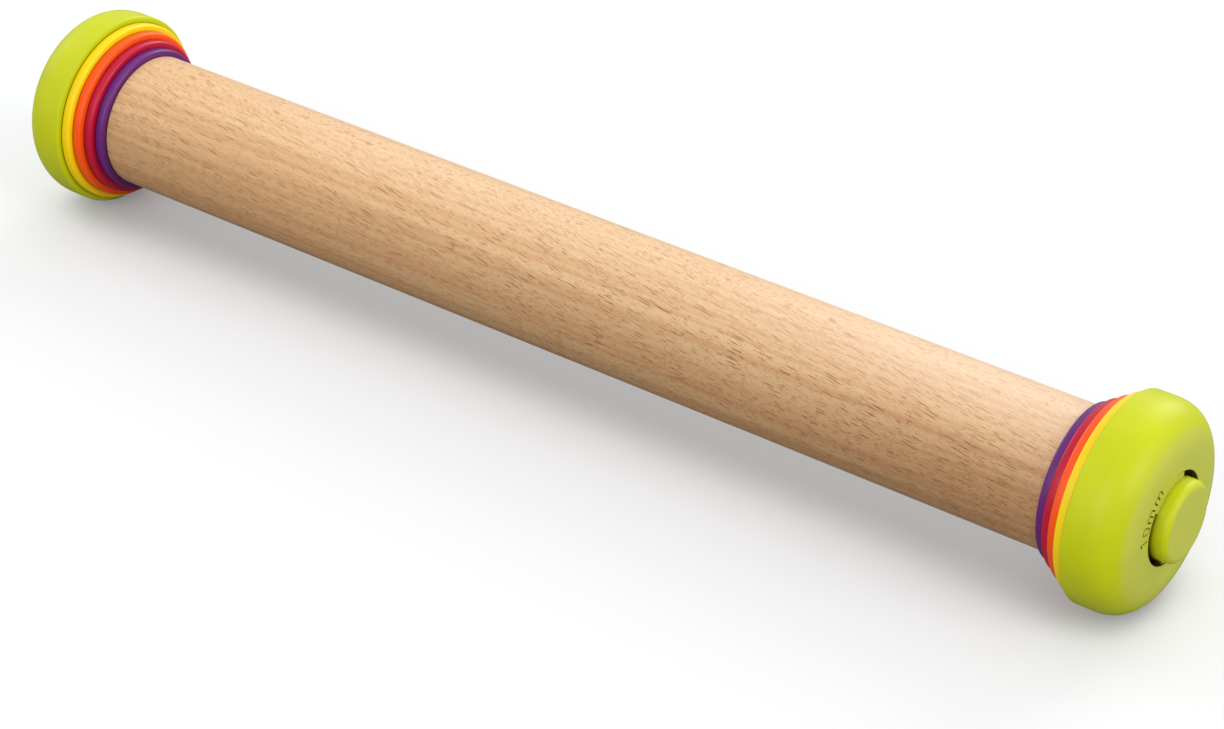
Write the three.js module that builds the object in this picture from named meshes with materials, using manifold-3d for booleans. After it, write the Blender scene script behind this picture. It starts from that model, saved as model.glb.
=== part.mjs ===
// Adjustable rolling pin: a beech roller with five stacked plastic discs and a screw knob on each end.
// Millimetres, +Z up, +X along the pin, origin on the table under the middle of the pin.
import * as THREE from "three";
import { mergeVertices } from "three/addons/utils/BufferGeometryUtils.js";
import Module from "manifold-3d";

const wasm = await Module();
wasm.setup();

// Roller
const ROLLER_LENGTH = 349.5;
const ROLLER_RADIUS = 21.8;
const ROLLER_EDGE_CHAMFER = 0.6;

// Stack of discs, each one step larger in radius than its inner neighbour
const DISC_STEP = 2;
const THIN_DISC_THICKNESS = 3;
const THIN_DISC_ROUND = 0.9;
const DISC_EDGE_CHAMFER = 0.25;
const SEAT_GAP = 0.03;
const SLIDE_CLEARANCE = 0.12;

// Thick end disc
const END_DISC_THICKNESS = 17.9;
const END_DISC_RIM_WIDTH = 6.4;
const END_DISC_FACE_RADIUS = 18.5;
const END_DISC_CORNER_POWER_SHARE = 0.9;
const HOLE_RADIUS = 14.1;
const HOLE_DEPTH = 9.15;
const HOLE_EDGE_CHAMFER = 0.35;
const CORE_WALL = 3;
const CORE_RIM_WALL = 3.4;
const CORE_FACE_WALL = 6.2;
const CORE_RIB_THICKNESS = 1.8;
const CORE_RIB_SETBACK = 0.6;
const CORE_RIB_SINK = 0.5;

// Knob
const KNOB_PROUD = 4.5;
const KNOB_EDGE_ROUND = 2.05;
const KNOB_SKIRT_GAP = 0.3;
const KNOB_CRESCENT_WIDTH = 1.55;
const KNOB_SKIRT_SETBACK = 0.3;

// Hub let into the roller's end
const HUB_FLANGE_RADIUS = 17;
const HUB_FLANGE_THICKNESS = 3;
const HUB_BOSS_RADIUS = 9;
const HUB_BOSS_SETBACK = 1;
const HUB_BOSS_CHAMFER = 0.8;
const HUB_POCKET_CLEARANCE = 0.12;

// Wood screws that hold the hub
const SCREW_LENGTH = 15;
const SCREW_SHANK_RADIUS = 1.4;
const SCREW_HEAD_RADIUS = 2.8;
const SCREW_HEAD_SINK = 0.15;
const SCREW_TIP_LENGTH = 2.5;
const SCREW_CLEARANCE = 0.1;

// Threaded insert, stud and washer
const STUD_RADIUS = 5;
const STUD_ENGAGEMENT = 18;
const STUD_TIP_CHAMFER = 1;
const STUD_HEAD_RADIUS = 7.5;
const STUD_HEAD_LENGTH = 7;
const STUD_NECK_LENGTH = 2;
const STUD_CLEARANCE = 0.12;
const MOULDED_IN_GAP = 0.05;
const INSERT_WALL = 2.4;
const INSERT_LENGTH = 20;
const INSERT_RELIEF_DEPTH = 4;
const WASHER_THICKNESS = 1.5;
const WASHER_EDGE_CLEARANCE = 1.2;

// Counts and overruns
const DISC_FACETS = 32;
const SMALL_FACETS = 24;
const SCREW_FACETS = 12;
const ARC_STEPS = 4;
const END_CORNER_STEPS = 6;
const THIN_DISC_COUNT = 4;
const HUB_SCREW_COUNT = 3;
const CORE_RIB_COUNT = 8;
const CUT_OVERRUN = 1;

// The knob's skirt stays on two opposite arcs, in degrees from +Y towards +Z seen from outside
const SKIRT_START_DEGREES = 72;
const SKIRT_END_DEGREES = 145;
const HALF_TURN_DEGREES = 180;

// Places worked out from the sizes, along the pin from the roller's end face outwards
const THIN_DISC_PITCH = THIN_DISC_THICKNESS + SEAT_GAP;
const END_DISC_START = THIN_DISC_COUNT * THIN_DISC_PITCH + SEAT_GAP;
const END_DISC_RADIUS = ROLLER_RADIUS + (THIN_DISC_COUNT + 1) * DISC_STEP;
const END_FACE = END_DISC_START + END_DISC_THICKNESS;
const HOLE_FLOOR = END_FACE - HOLE_DEPTH;
const HUB_BOSS_END = HOLE_FLOOR - HUB_BOSS_SETBACK;
const WASHER_START = HOLE_FLOOR + SEAT_GAP;
const KNOB_BASE = WASHER_START + WASHER_THICKNESS + SEAT_GAP;
const KNOB_FACE = END_FACE + KNOB_PROUD;
const HUB_SEAT = -HUB_FLANGE_THICKNESS - SEAT_GAP;
const INSERT_START = HUB_SEAT - SEAT_GAP - INSERT_LENGTH;
const STUD_TIP = HUB_SEAT - SEAT_GAP - STUD_ENGAGEMENT;
const STUD_HEAD_START = KNOB_BASE + STUD_NECK_LENGTH;
const STUD_HEAD_END = STUD_HEAD_START + STUD_HEAD_LENGTH;

// Radii worked out from the sizes
const DISC_BORE_RADIUS = HUB_BOSS_RADIUS + SLIDE_CLEARANCE;
const KNOB_SKIRT_RADIUS = HOLE_RADIUS - KNOB_SKIRT_GAP;
const KNOB_BODY_RADIUS = KNOB_SKIRT_RADIUS - KNOB_CRESCENT_WIDTH;
const STUD_BORE_RADIUS = STUD_RADIUS + STUD_CLEARANCE;
const INSERT_RADIUS = STUD_BORE_RADIUS + INSERT_WALL;
const SCREW_CIRCLE_RADIUS = (HUB_BOSS_RADIUS + HUB_FLANGE_RADIUS) / 2;
const WASHER_RADIUS = HOLE_RADIUS - WASHER_EDGE_CLEARANCE;

const BEECH = new THREE.MeshStandardMaterial({ color: 0xdcb283, roughness: 0.55, metalness: 0 });
const VIOLET = new THREE.MeshStandardMaterial({ color: 0x631f76, roughness: 0.35, metalness: 0 });
const CRIMSON = new THREE.MeshStandardMaterial({ color: 0xc4122f, roughness: 0.35, metalness: 0 });
const ORANGE = new THREE.MeshStandardMaterial({ color: 0xff5a12, roughness: 0.35, metalness: 0 });
const YELLOW = new THREE.MeshStandardMaterial({ color: 0xffd60f, roughness: 0.35, metalness: 0 });
const LIME = new THREE.MeshStandardMaterial({ color: 0xc2cc22, roughness: 0.4, metalness: 0 });
const HUB_GREY = new THREE.MeshStandardMaterial({ color: 0x4a4c50, roughness: 0.5, metalness: 0 });
const BRASS = new THREE.MeshStandardMaterial({ color: 0xc9a24a, roughness: 0.35, metalness: 1 });
const STEEL = new THREE.MeshStandardMaterial({ color: 0xb8bcc0, roughness: 0.3, metalness: 1 });
const RUBBER = new THREE.MeshStandardMaterial({ color: 0x141414, roughness: 0.85, metalness: 0 });

// The thin discs from the roller outwards, each named for how far it lifts the roller
const THIN_DISCS = [
  ["disc_2mm", VIOLET],
  ["disc_4mm", CRIMSON],
  ["disc_6mm", ORANGE],
  ["disc_8mm", YELLOW],
];

// One point of a profile: along the pin, and out from its axis.
function at(along, radius) {
  return new THREE.Vector2(radius, along);
}

// Points on an arc about a centre of a profile, from one angle to another, 0 degrees being outwards.
function arc(along, radius, bend, fromDegrees, toDegrees, steps = ARC_STEPS) {
  const points = [];
  for (let i = 0; i <= steps; i += 1) {
    const angle = THREE.MathUtils.degToRad(fromDegrees + ((toDegrees - fromDegrees) * i) / steps);
    points.push(at(along + bend * Math.sin(angle), radius + bend * Math.cos(angle)));
  }
  return points;
}

// Turns a profile about the pin's axis. Its flats, not its corners, lie at the profile's radii,
// and one flat faces straight down.
function turned(profile, facets) {
  const flatShare = 1 / Math.cos(Math.PI / facets);
  const points = profile.map((p) => new THREE.Vector2(p.x * flatShare, p.y));
  const geometry = new THREE.LatheGeometry(points, facets, Math.PI / facets);
  return geometry.rotateZ(-Math.PI / 2);
}

// A profile with a bore, listed from the bore outwards. It is closed on its first point and
// reversed, so that the faces look out.
function ring(profile, facets) {
  return turned([...profile, profile[0].clone()].reverse(), facets);
}

// A closed mesh as a solid that can be cut and joined.
function solidOf(geometry) {
  const bare = geometry.clone();
  bare.deleteAttribute("normal");
  bare.deleteAttribute("uv");
  const merged = mergeVertices(bare);
  return new wasm.Manifold(
    new wasm.Mesh({
      numProp: 3,
      vertProperties: merged.attributes.position.array,
      triVerts: new Uint32Array(merged.index.array),
    }),
  );
}

// A solid's surface as flat-shaded geometry.
function geometryOf(solid) {
  const surface = solid.getMesh();
  const geometry = new THREE.BufferGeometry();
  geometry.setAttribute("position", new THREE.BufferAttribute(surface.vertProperties, surface.numProp));
  geometry.setIndex(new THREE.BufferAttribute(surface.triVerts, 1));
  const flat = geometry.toNonIndexed();
  flat.computeVertexNormals();
  return flat;
}

// A prism along the pin from an outline drawn in Y and Z.
function prism(outline, start, end) {
  const shape = new THREE.Shape(outline);
  const geometry = new THREE.ExtrudeGeometry(shape, { depth: end - start, bevelEnabled: false });
  const across = new THREE.Vector3(0, 1, 0);
  const upward = new THREE.Vector3(0, 0, 1);
  const along = new THREE.Vector3(1, 0, 0);
  geometry.applyMatrix4(new THREE.Matrix4().makeBasis(across, upward, along));
  return geometry.translate(start, 0, 0);
}

// Places around the hub where its screws stand.
function screwPlaces() {
  const places = [];
  for (let i = 0; i < HUB_SCREW_COUNT; i += 1) {
    const angle = Math.PI / 2 + (2 * Math.PI * i) / HUB_SCREW_COUNT;
    places.push({
      y: SCREW_CIRCLE_RADIUS * Math.cos(angle),
      z: SCREW_CIRCLE_RADIUS * Math.sin(angle),
    });
  }
  return places;
}

// The profile of a wood screw, grown by a clearance for the hole that it stands in.
function screwProfile(clearance, top) {
  const head = SCREW_HEAD_RADIUS + clearance;
  const shank = SCREW_SHANK_RADIUS + clearance;
  const headBottom = -SCREW_HEAD_SINK - (SCREW_HEAD_RADIUS - SCREW_SHANK_RADIUS);
  const tip = -SCREW_HEAD_SINK - SCREW_LENGTH - clearance;
  return [
    at(tip, 0),
    at(tip + SCREW_TIP_LENGTH, shank),
    at(headBottom - clearance, shank),
    at(-SCREW_HEAD_SINK - clearance, head),
    at(top, head),
    at(top, 0),
  ];
}

// Half of the roller's profile, from the bottom of an end's bore out to the rim.
function rollerEndProfile() {
  const half = ROLLER_LENGTH / 2;
  const pocket = HUB_FLANGE_RADIUS + HUB_POCKET_CLEARANCE;
  const socket = INSERT_RADIUS + MOULDED_IN_GAP;
  const socketFloor = INSERT_START - SEAT_GAP;
  return [
    at(half + socketFloor - INSERT_RELIEF_DEPTH, 0),
    at(half + socketFloor - INSERT_RELIEF_DEPTH, STUD_BORE_RADIUS),
    at(half + socketFloor, STUD_BORE_RADIUS),
    at(half + socketFloor, socket),
    at(half + HUB_SEAT, socket),
    at(half + HUB_SEAT, pocket),
    at(half, pocket),
    at(half, ROLLER_RADIUS - ROLLER_EDGE_CHAMFER),
    at(half - ROLLER_EDGE_CHAMFER, ROLLER_RADIUS),
  ];
}

// The beech roller, with a stepped bore and three pilot holes in each end.
function roller() {
  const right = rollerEndProfile();
  const left = right.map((p) => at(-p.y, p.x));
  let body = solidOf(turned([...left, ...right.reverse()], DISC_FACETS));
  const pilot = turned(screwProfile(SCREW_CLEARANCE, CUT_OVERRUN), SCREW_FACETS);
  for (const place of screwPlaces()) {
    const hole = pilot.clone().translate(ROLLER_LENGTH / 2, place.y, place.z);
    body = body.subtract(solidOf(hole));
    body = body.subtract(solidOf(hole.clone().rotateZ(Math.PI)));
  }
  return geometryOf(body);
}

// The brass insert, whose bore takes the stud.
function threadedInsert() {
  const end = INSERT_START + INSERT_LENGTH;
  return ring(
    [
      at(INSERT_START, STUD_BORE_RADIUS),
      at(end, STUD_BORE_RADIUS),
      at(end, INSERT_RADIUS),
      at(INSERT_START, INSERT_RADIUS),
    ],
    DISC_FACETS,
  );
}

// The moulded hub: a flange let into the roller, and the boss that the discs centre on.
function hub() {
  const profile = [
    at(-HUB_FLANGE_THICKNESS, STUD_BORE_RADIUS),
    at(HUB_BOSS_END, STUD_BORE_RADIUS),
    at(HUB_BOSS_END, HUB_BOSS_RADIUS - HUB_BOSS_CHAMFER),
    at(HUB_BOSS_END - HUB_BOSS_CHAMFER, HUB_BOSS_RADIUS),
    at(0, HUB_BOSS_RADIUS),
    at(0, HUB_FLANGE_RADIUS),
    at(-HUB_FLANGE_THICKNESS, HUB_FLANGE_RADIUS),
  ];
  let body = solidOf(ring(profile, DISC_FACETS));
  const hole = turned(screwProfile(SCREW_CLEARANCE, CUT_OVERRUN), SCREW_FACETS);
  for (const place of screwPlaces()) {
    body = body.subtract(solidOf(hole.clone().translate(0, place.y, place.z)));
  }
  return geometryOf(body);
}

// One countersunk wood screw, on its own axis.
function hubScrew() {
  return turned(screwProfile(0, -SCREW_HEAD_SINK), SCREW_FACETS);
}

// A thin disc, rounded on the edge that faces the roller.
function thinDisc(radius) {
  return ring(
    [
      at(0, DISC_BORE_RADIUS),
      at(THIN_DISC_THICKNESS, DISC_BORE_RADIUS),
      at(THIN_DISC_THICKNESS, radius - DISC_EDGE_CHAMFER),
      at(THIN_DISC_THICKNESS - DISC_EDGE_CHAMFER, radius),
      ...arc(THIN_DISC_ROUND, radius - THIN_DISC_ROUND, THIN_DISC_ROUND, 0, -90),
    ],
    DISC_FACETS,
  );
}

// The end disc's full corner, from its rim to its flat face, a squarish quarter of an ellipse.
function endCorner() {
  const depth = END_DISC_THICKNESS - END_DISC_RIM_WIDTH;
  const width = END_DISC_RADIUS - END_DISC_FACE_RADIUS;
  const points = [];
  for (let i = 0; i <= END_CORNER_STEPS; i += 1) {
    const angle = (Math.PI / 2) * (i / END_CORNER_STEPS);
    const along = depth * Math.sin(angle) ** END_DISC_CORNER_POWER_SHARE;
    const outward = width * Math.max(Math.cos(angle), 0) ** END_DISC_CORNER_POWER_SHARE;
    points.push(at(END_DISC_RIM_WIDTH + along, END_DISC_FACE_RADIUS + outward));
  }
  points[END_CORNER_STEPS] = at(END_DISC_THICKNESS, END_DISC_FACE_RADIUS);
  return points;
}

// The thick end disc: a moulding cored out behind its face, with the knob's hole in front.
function endDisc() {
  const floor = END_DISC_THICKNESS - HOLE_DEPTH;
  const coreInside = HOLE_RADIUS + CORE_WALL;
  const coreOutside = END_DISC_RADIUS - CORE_RIM_WALL;
  const coreFloor = END_DISC_THICKNESS - CORE_FACE_WALL;
  const profile = [
    at(0, DISC_BORE_RADIUS),
    at(floor, DISC_BORE_RADIUS),
    at(floor, HOLE_RADIUS),
    at(END_DISC_THICKNESS - HOLE_EDGE_CHAMFER, HOLE_RADIUS),
    at(END_DISC_THICKNESS, HOLE_RADIUS + HOLE_EDGE_CHAMFER),
    ...endCorner().reverse(),
    ...arc(THIN_DISC_ROUND, END_DISC_RADIUS - THIN_DISC_ROUND, THIN_DISC_ROUND, 0, -90),
    at(0, coreOutside),
    at(coreFloor, coreOutside),
    at(coreFloor, coreInside),
    at(0, coreInside),
  ];
  let body = solidOf(ring(profile, DISC_FACETS));
  for (let i = 0; i < CORE_RIB_COUNT; i += 1) {
    body = body.add(solidOf(coreRib(coreInside, coreOutside, coreFloor, i)));
  }
  return geometryOf(body);
}

// One radial rib in the end disc's core, sunk into the walls that it joins.
function coreRib(inside, outside, floor, index) {
  const start = CORE_RIB_SETBACK;
  const length = outside - inside + 2 * CORE_RIB_SINK;
  const depth = floor - start + CORE_RIB_SINK;
  const rib = new THREE.BoxGeometry(depth, CORE_RIB_THICKNESS, length);
  rib.translate(start + depth / 2, 0, (inside + outside) / 2);
  return rib.rotateX((2 * Math.PI * index) / CORE_RIB_COUNT);
}

// The washer between the knob and the floor of the hole.
function washer() {
  return ring(
    [
      at(0, STUD_BORE_RADIUS),
      at(WASHER_THICKNESS, STUD_BORE_RADIUS),
      at(WASHER_THICKNESS, WASHER_RADIUS),
      at(0, WASHER_RADIUS),
    ],
    SMALL_FACETS,
  );
}

// The stud, plain where its thread runs, with the head that is moulded into the knob.
function stud() {
  return turned(
    [
      at(STUD_TIP, 0),
      at(STUD_TIP, STUD_RADIUS - STUD_TIP_CHAMFER),
      at(STUD_TIP + STUD_TIP_CHAMFER, STUD_RADIUS),
      at(STUD_HEAD_START, STUD_RADIUS),
      at(STUD_HEAD_START, STUD_HEAD_RADIUS),
      at(STUD_HEAD_END, STUD_HEAD_RADIUS),
      at(STUD_HEAD_END, 0),
    ],
    SMALL_FACETS,
  );
}

// The space in the knob that the stud's neck and head fill.
function studPocket() {
  return turned(
    [
      at(KNOB_BASE - CUT_OVERRUN, 0),
      at(KNOB_BASE - CUT_OVERRUN, STUD_RADIUS + MOULDED_IN_GAP),
      at(STUD_HEAD_START - MOULDED_IN_GAP, STUD_RADIUS + MOULDED_IN_GAP),
      at(STUD_HEAD_START - MOULDED_IN_GAP, STUD_HEAD_RADIUS + MOULDED_IN_GAP),
      at(STUD_HEAD_END + MOULDED_IN_GAP, STUD_HEAD_RADIUS + MOULDED_IN_GAP),
      at(STUD_HEAD_END + MOULDED_IN_GAP, 0),
    ],
    SMALL_FACETS,
  );
}

// A wedge from the axis, which keeps the skirt between its two angles.
function skirtWedge(fromDegrees, toDegrees) {
  const reach = 2 * KNOB_SKIRT_RADIUS;
  const corners = [fromDegrees, toDegrees].map((degrees) => {
    const angle = THREE.MathUtils.degToRad(degrees);
    return new THREE.Vector2(reach * Math.cos(angle), reach * Math.sin(angle));
  });
  return prism([new THREE.Vector2(0, 0), ...corners], KNOB_BASE - CUT_OVERRUN, KNOB_FACE + CUT_OVERRUN);
}

// The knob: a round body, and a flat-topped skirt that reaches out to the hole on two opposite arcs.
function knob() {
  const body = turned(
    [
      at(KNOB_BASE, 0),
      at(KNOB_BASE, KNOB_BODY_RADIUS),
      ...arc(KNOB_FACE - KNOB_EDGE_ROUND, KNOB_BODY_RADIUS - KNOB_EDGE_ROUND, KNOB_EDGE_ROUND, 0, 90),
      at(KNOB_FACE, 0),
    ],
    DISC_FACETS,
  );
  const skirtEdge = END_FACE - KNOB_SKIRT_SETBACK;
  const skirt = turned(
    [
      at(KNOB_BASE, 0),
      at(KNOB_BASE, KNOB_SKIRT_RADIUS),
      at(skirtEdge, KNOB_SKIRT_RADIUS),
      at(skirtEdge, 0),
    ],
    DISC_FACETS,
  );
  let solid = solidOf(body);
  for (const turn of [0, HALF_TURN_DEGREES]) {
    const wedge = solidOf(skirtWedge(SKIRT_START_DEGREES + turn, SKIRT_END_DEGREES + turn));
    solid = solid.add(solidOf(skirt).intersect(wedge));
  }
  return geometryOf(solid.subtract(solidOf(studPocket())));
}

// A named piece of the pin, placed in its end's own frame.
function piece(name, geometry, material, along = 0, y = 0, z = 0) {
  const mesh = new THREE.Mesh(geometry, material);
  mesh.name = name;
  mesh.position.set(along, y, z);
  return mesh;
}

// Everything that one end carries, along +X from the roller's end face.
function endAssembly(side) {
  const group = new THREE.Group();
  group.add(piece(`threaded_insert_${side}`, threadedInsert(), BRASS));
  group.add(piece(`hub_${side}`, hub(), HUB_GREY));
  screwPlaces().forEach((place, i) => {
    group.add(piece(`hub_screw_${i + 1}_${side}`, hubScrew(), STEEL, 0, place.y, place.z));
  });
  THIN_DISCS.forEach(([name, material], i) => {
    const lift = (i + 1) * DISC_STEP;
    const place = SEAT_GAP + i * THIN_DISC_PITCH;
    group.add(piece(`${name}_${side}`, thinDisc(ROLLER_RADIUS + lift), material, place));
  });
  group.add(piece(`disc_10mm_${side}`, endDisc(), LIME, END_DISC_START));
  group.add(piece(`washer_${side}`, washer(), RUBBER, WASHER_START));
  group.add(piece(`stud_${side}`, stud(), STEEL));
  group.add(piece(`knob_${side}`, knob(), LIME));
  return group;
}

const rollingPin = new THREE.Group();
rollingPin.add(piece("roller", roller(), BEECH));
const rightEnd = endAssembly("right");
rightEnd.position.x = ROLLER_LENGTH / 2;
rollingPin.add(rightEnd);
const leftEnd = endAssembly("left");
leftEnd.position.x = -ROLLER_LENGTH / 2;
leftEnd.rotation.z = Math.PI;
rollingPin.add(leftEnd);
rollingPin.position.z = END_DISC_RADIUS;

export default rollingPin;
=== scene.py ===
"""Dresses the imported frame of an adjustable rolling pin: a beech roller with size discs and screw knobs."""

import logging
import math
from dataclasses import dataclass, field
from enum import Enum
from typing import Any, Callable, Sequence

import bmesh
import bpy
from bpy.types import Material, Mesh, Node, NodeSocket, NodeTree
from mathutils import Matrix, Vector


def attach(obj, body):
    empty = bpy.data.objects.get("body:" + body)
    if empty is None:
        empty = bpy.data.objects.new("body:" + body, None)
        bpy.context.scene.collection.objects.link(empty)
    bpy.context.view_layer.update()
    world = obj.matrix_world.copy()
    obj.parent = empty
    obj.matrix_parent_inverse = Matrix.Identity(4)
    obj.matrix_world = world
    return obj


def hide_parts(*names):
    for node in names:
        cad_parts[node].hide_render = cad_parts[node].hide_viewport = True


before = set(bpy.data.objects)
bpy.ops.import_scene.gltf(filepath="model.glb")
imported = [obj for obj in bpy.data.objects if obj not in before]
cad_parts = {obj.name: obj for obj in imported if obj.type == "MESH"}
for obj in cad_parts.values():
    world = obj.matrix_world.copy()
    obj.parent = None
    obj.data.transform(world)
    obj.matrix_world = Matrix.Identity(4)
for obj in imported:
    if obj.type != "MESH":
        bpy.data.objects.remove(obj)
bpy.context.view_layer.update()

LOG = logging.getLogger("rolling_pin")
MM = 0.001
LEAST_EDGE_MM = 0.001
CLOSING_GAP_MM = 1e-6
WAVE_RADIANS = 20.0
ACROSS = (0.0, 1.0, 1.0)

Point = tuple[float, float]
Size = tuple[float, float, float]
Colour = tuple[float, float, float, float]
Source = Node | NodeSocket
# Inputs by number: MapRange reads 0 from 1 to 2 and gives 3 to 4, and Mix lays 7 over 6 by the share in 0.
Inputs = dict[int | str, Any]


class End(Enum):
    """The two ends of the pin, each with the turn about the upright that sets it outwards."""

    RIGHT = ("right", 0.0)
    LEFT = ("left", math.pi)

    @property
    def label(self) -> str:
        """The end's name, as node names end."""
        return self.value[0]

    def place(self) -> Matrix:
        """Finds where the end's own frame stands.

        Returns:
            The matrix from the end's own frame, in millimetres, to the row frame in metres.
        """
        half = PIN.roller_length / 2
        sign = math.cos(self.value[1])
        spot = Matrix.Translation((sign * half * MM, 0, PIN.axis_height * MM))
        return spot @ Matrix.Rotation(self.value[1], 4, "Z") @ Matrix.Scale(MM, 4)


class Blend(Enum):
    """How a wash meets the colour under it, by the mix node's own names."""

    COVER = "MIX"
    TINT = "MULTIPLY"


class Work(Enum):
    """What tools do to a body, by the boolean modifier's own names."""

    CUT = "DIFFERENCE"
    JOIN = "UNION"


@dataclass(frozen=True)
class PinSizes:
    """Sizes that more than one sub-assembly shares, in millimetres."""

    roller_length: float = 349.5
    roller_radius: float = 21.8
    disc_step: float = 2.0
    thin_disc: float = 3.0
    thin_discs: int = 4
    seat_gap: float = 0.03
    disc_bore: float = 9.12
    end_disc: float = 17.9
    hole_radius: float = 14.1
    hole_depth: float = 9.15
    washer: float = 1.5
    hub_flange: float = 3.0
    stud_radius: float = 5.0
    stud_bore: float = 5.12
    stud_head_radius: float = 7.5
    stud_head_span: tuple[float, float] = (2.0, 9.0)
    insert_length: float = 20.0
    engagement: float = 18.0

    @property
    def axis_height(self) -> float:
        """Height of the pin's axis over the worktop, which is the end disc's radius."""
        return self.disc_radius(self.thin_discs + 1)

    @property
    def end_disc_start(self) -> float:
        """Where the end disc begins, outwards from the roller's end face."""
        return self.thin_discs * (self.thin_disc + self.seat_gap) + self.seat_gap

    @property
    def end_face(self) -> float:
        """The end disc's flat face."""
        return self.end_disc_start + self.end_disc

    @property
    def hole_floor(self) -> float:
        """The floor of the hole that the knob sits in."""
        return self.end_face - self.hole_depth

    @property
    def knob_base(self) -> float:
        """The knob's inner face, which bears on the washer."""
        return self.hole_floor + self.washer + 2 * self.seat_gap

    @property
    def insert_face(self) -> float:
        """The outer face of the insert, just under the hub's flange."""
        return -self.hub_flange - 2 * self.seat_gap

    def disc_radius(self, number: int) -> float:
        """The radius of a disc, counted outwards from 1 for the one next to the roller."""
        return self.roller_radius + number * self.disc_step


PIN = PinSizes()


def linear(hex_colour: str) -> Colour:
    """Turns an sRGB hex colour into linear light.

    Args:
        hex_colour: such as "#c3cc22".

    Returns:
        Linear red, green and blue, with an alpha of 1.
    """
    parts = [int(hex_colour[i : i + 2], 16) / 255 for i in (1, 3, 5)]
    red, green, blue = (p / 12.92 if p <= 0.04045 else ((p + 0.055) / 1.055) ** 2.4 for p in parts)
    return red, green, blue, 1.0


def add_node(tree: NodeTree, kind: str, inputs: Inputs, **settings: Any) -> Node:
    """Adds one shader node.

    Args:
        tree: the material's node tree.
        kind: the node's type name without "ShaderNode".
        inputs: for each input, by name or number, the value to set, or the socket or node to link.
        settings: attributes to set on the node.

    Returns:
        The new node.
    """
    node = tree.nodes.new("ShaderNode" + kind)
    for name, value in settings.items():
        setattr(node, name, value)
    for key, value in inputs.items():
        source = value.outputs[0] if isinstance(value, Node) else value
        if isinstance(source, NodeSocket):
            tree.links.new(source, node.inputs[key])
        else:
            node.inputs[key].default_value = source
    return node


def new_material(name: str) -> tuple[Material, NodeTree]:
    """Makes an empty node material.

    Args:
        name: the material's name.

    Returns:
        The material and its node tree.
    """
    material = bpy.data.materials.new(name)
    material.use_nodes = True
    material.node_tree.nodes.clear()
    return material, material.node_tree


def finish_material(tree: NodeTree, inputs: Inputs) -> None:
    """Closes a material with a Principled shader that has the given inputs."""
    shader = add_node(tree, "BsdfPrincipled", inputs)
    add_node(tree, "OutputMaterial", {"Surface": shader})


@dataclass(frozen=True)
class Dashes:
    """Medullary rays, flat spindles along the grain: cell sizes in mm, and how much of a cell one fills."""

    length: float
    width: float
    height: float
    least_reach: float
    most_reach: float
    depth: float
    shown_share: float = 1.0
    core: float = 0.45
    far_share: float = 1.0
    palest: float = 0.6


@dataclass(frozen=True)
class Wash:
    """A colour laid on the wood: where its pattern begins to show it, where in full, and how much then.

    Where the pattern is a place along the roller, or a depth under its skin, both are in mm.
    """

    colour: str
    start: float
    full: float
    share: float = 1.0
    blend: Blend = Blend.COVER


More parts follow.
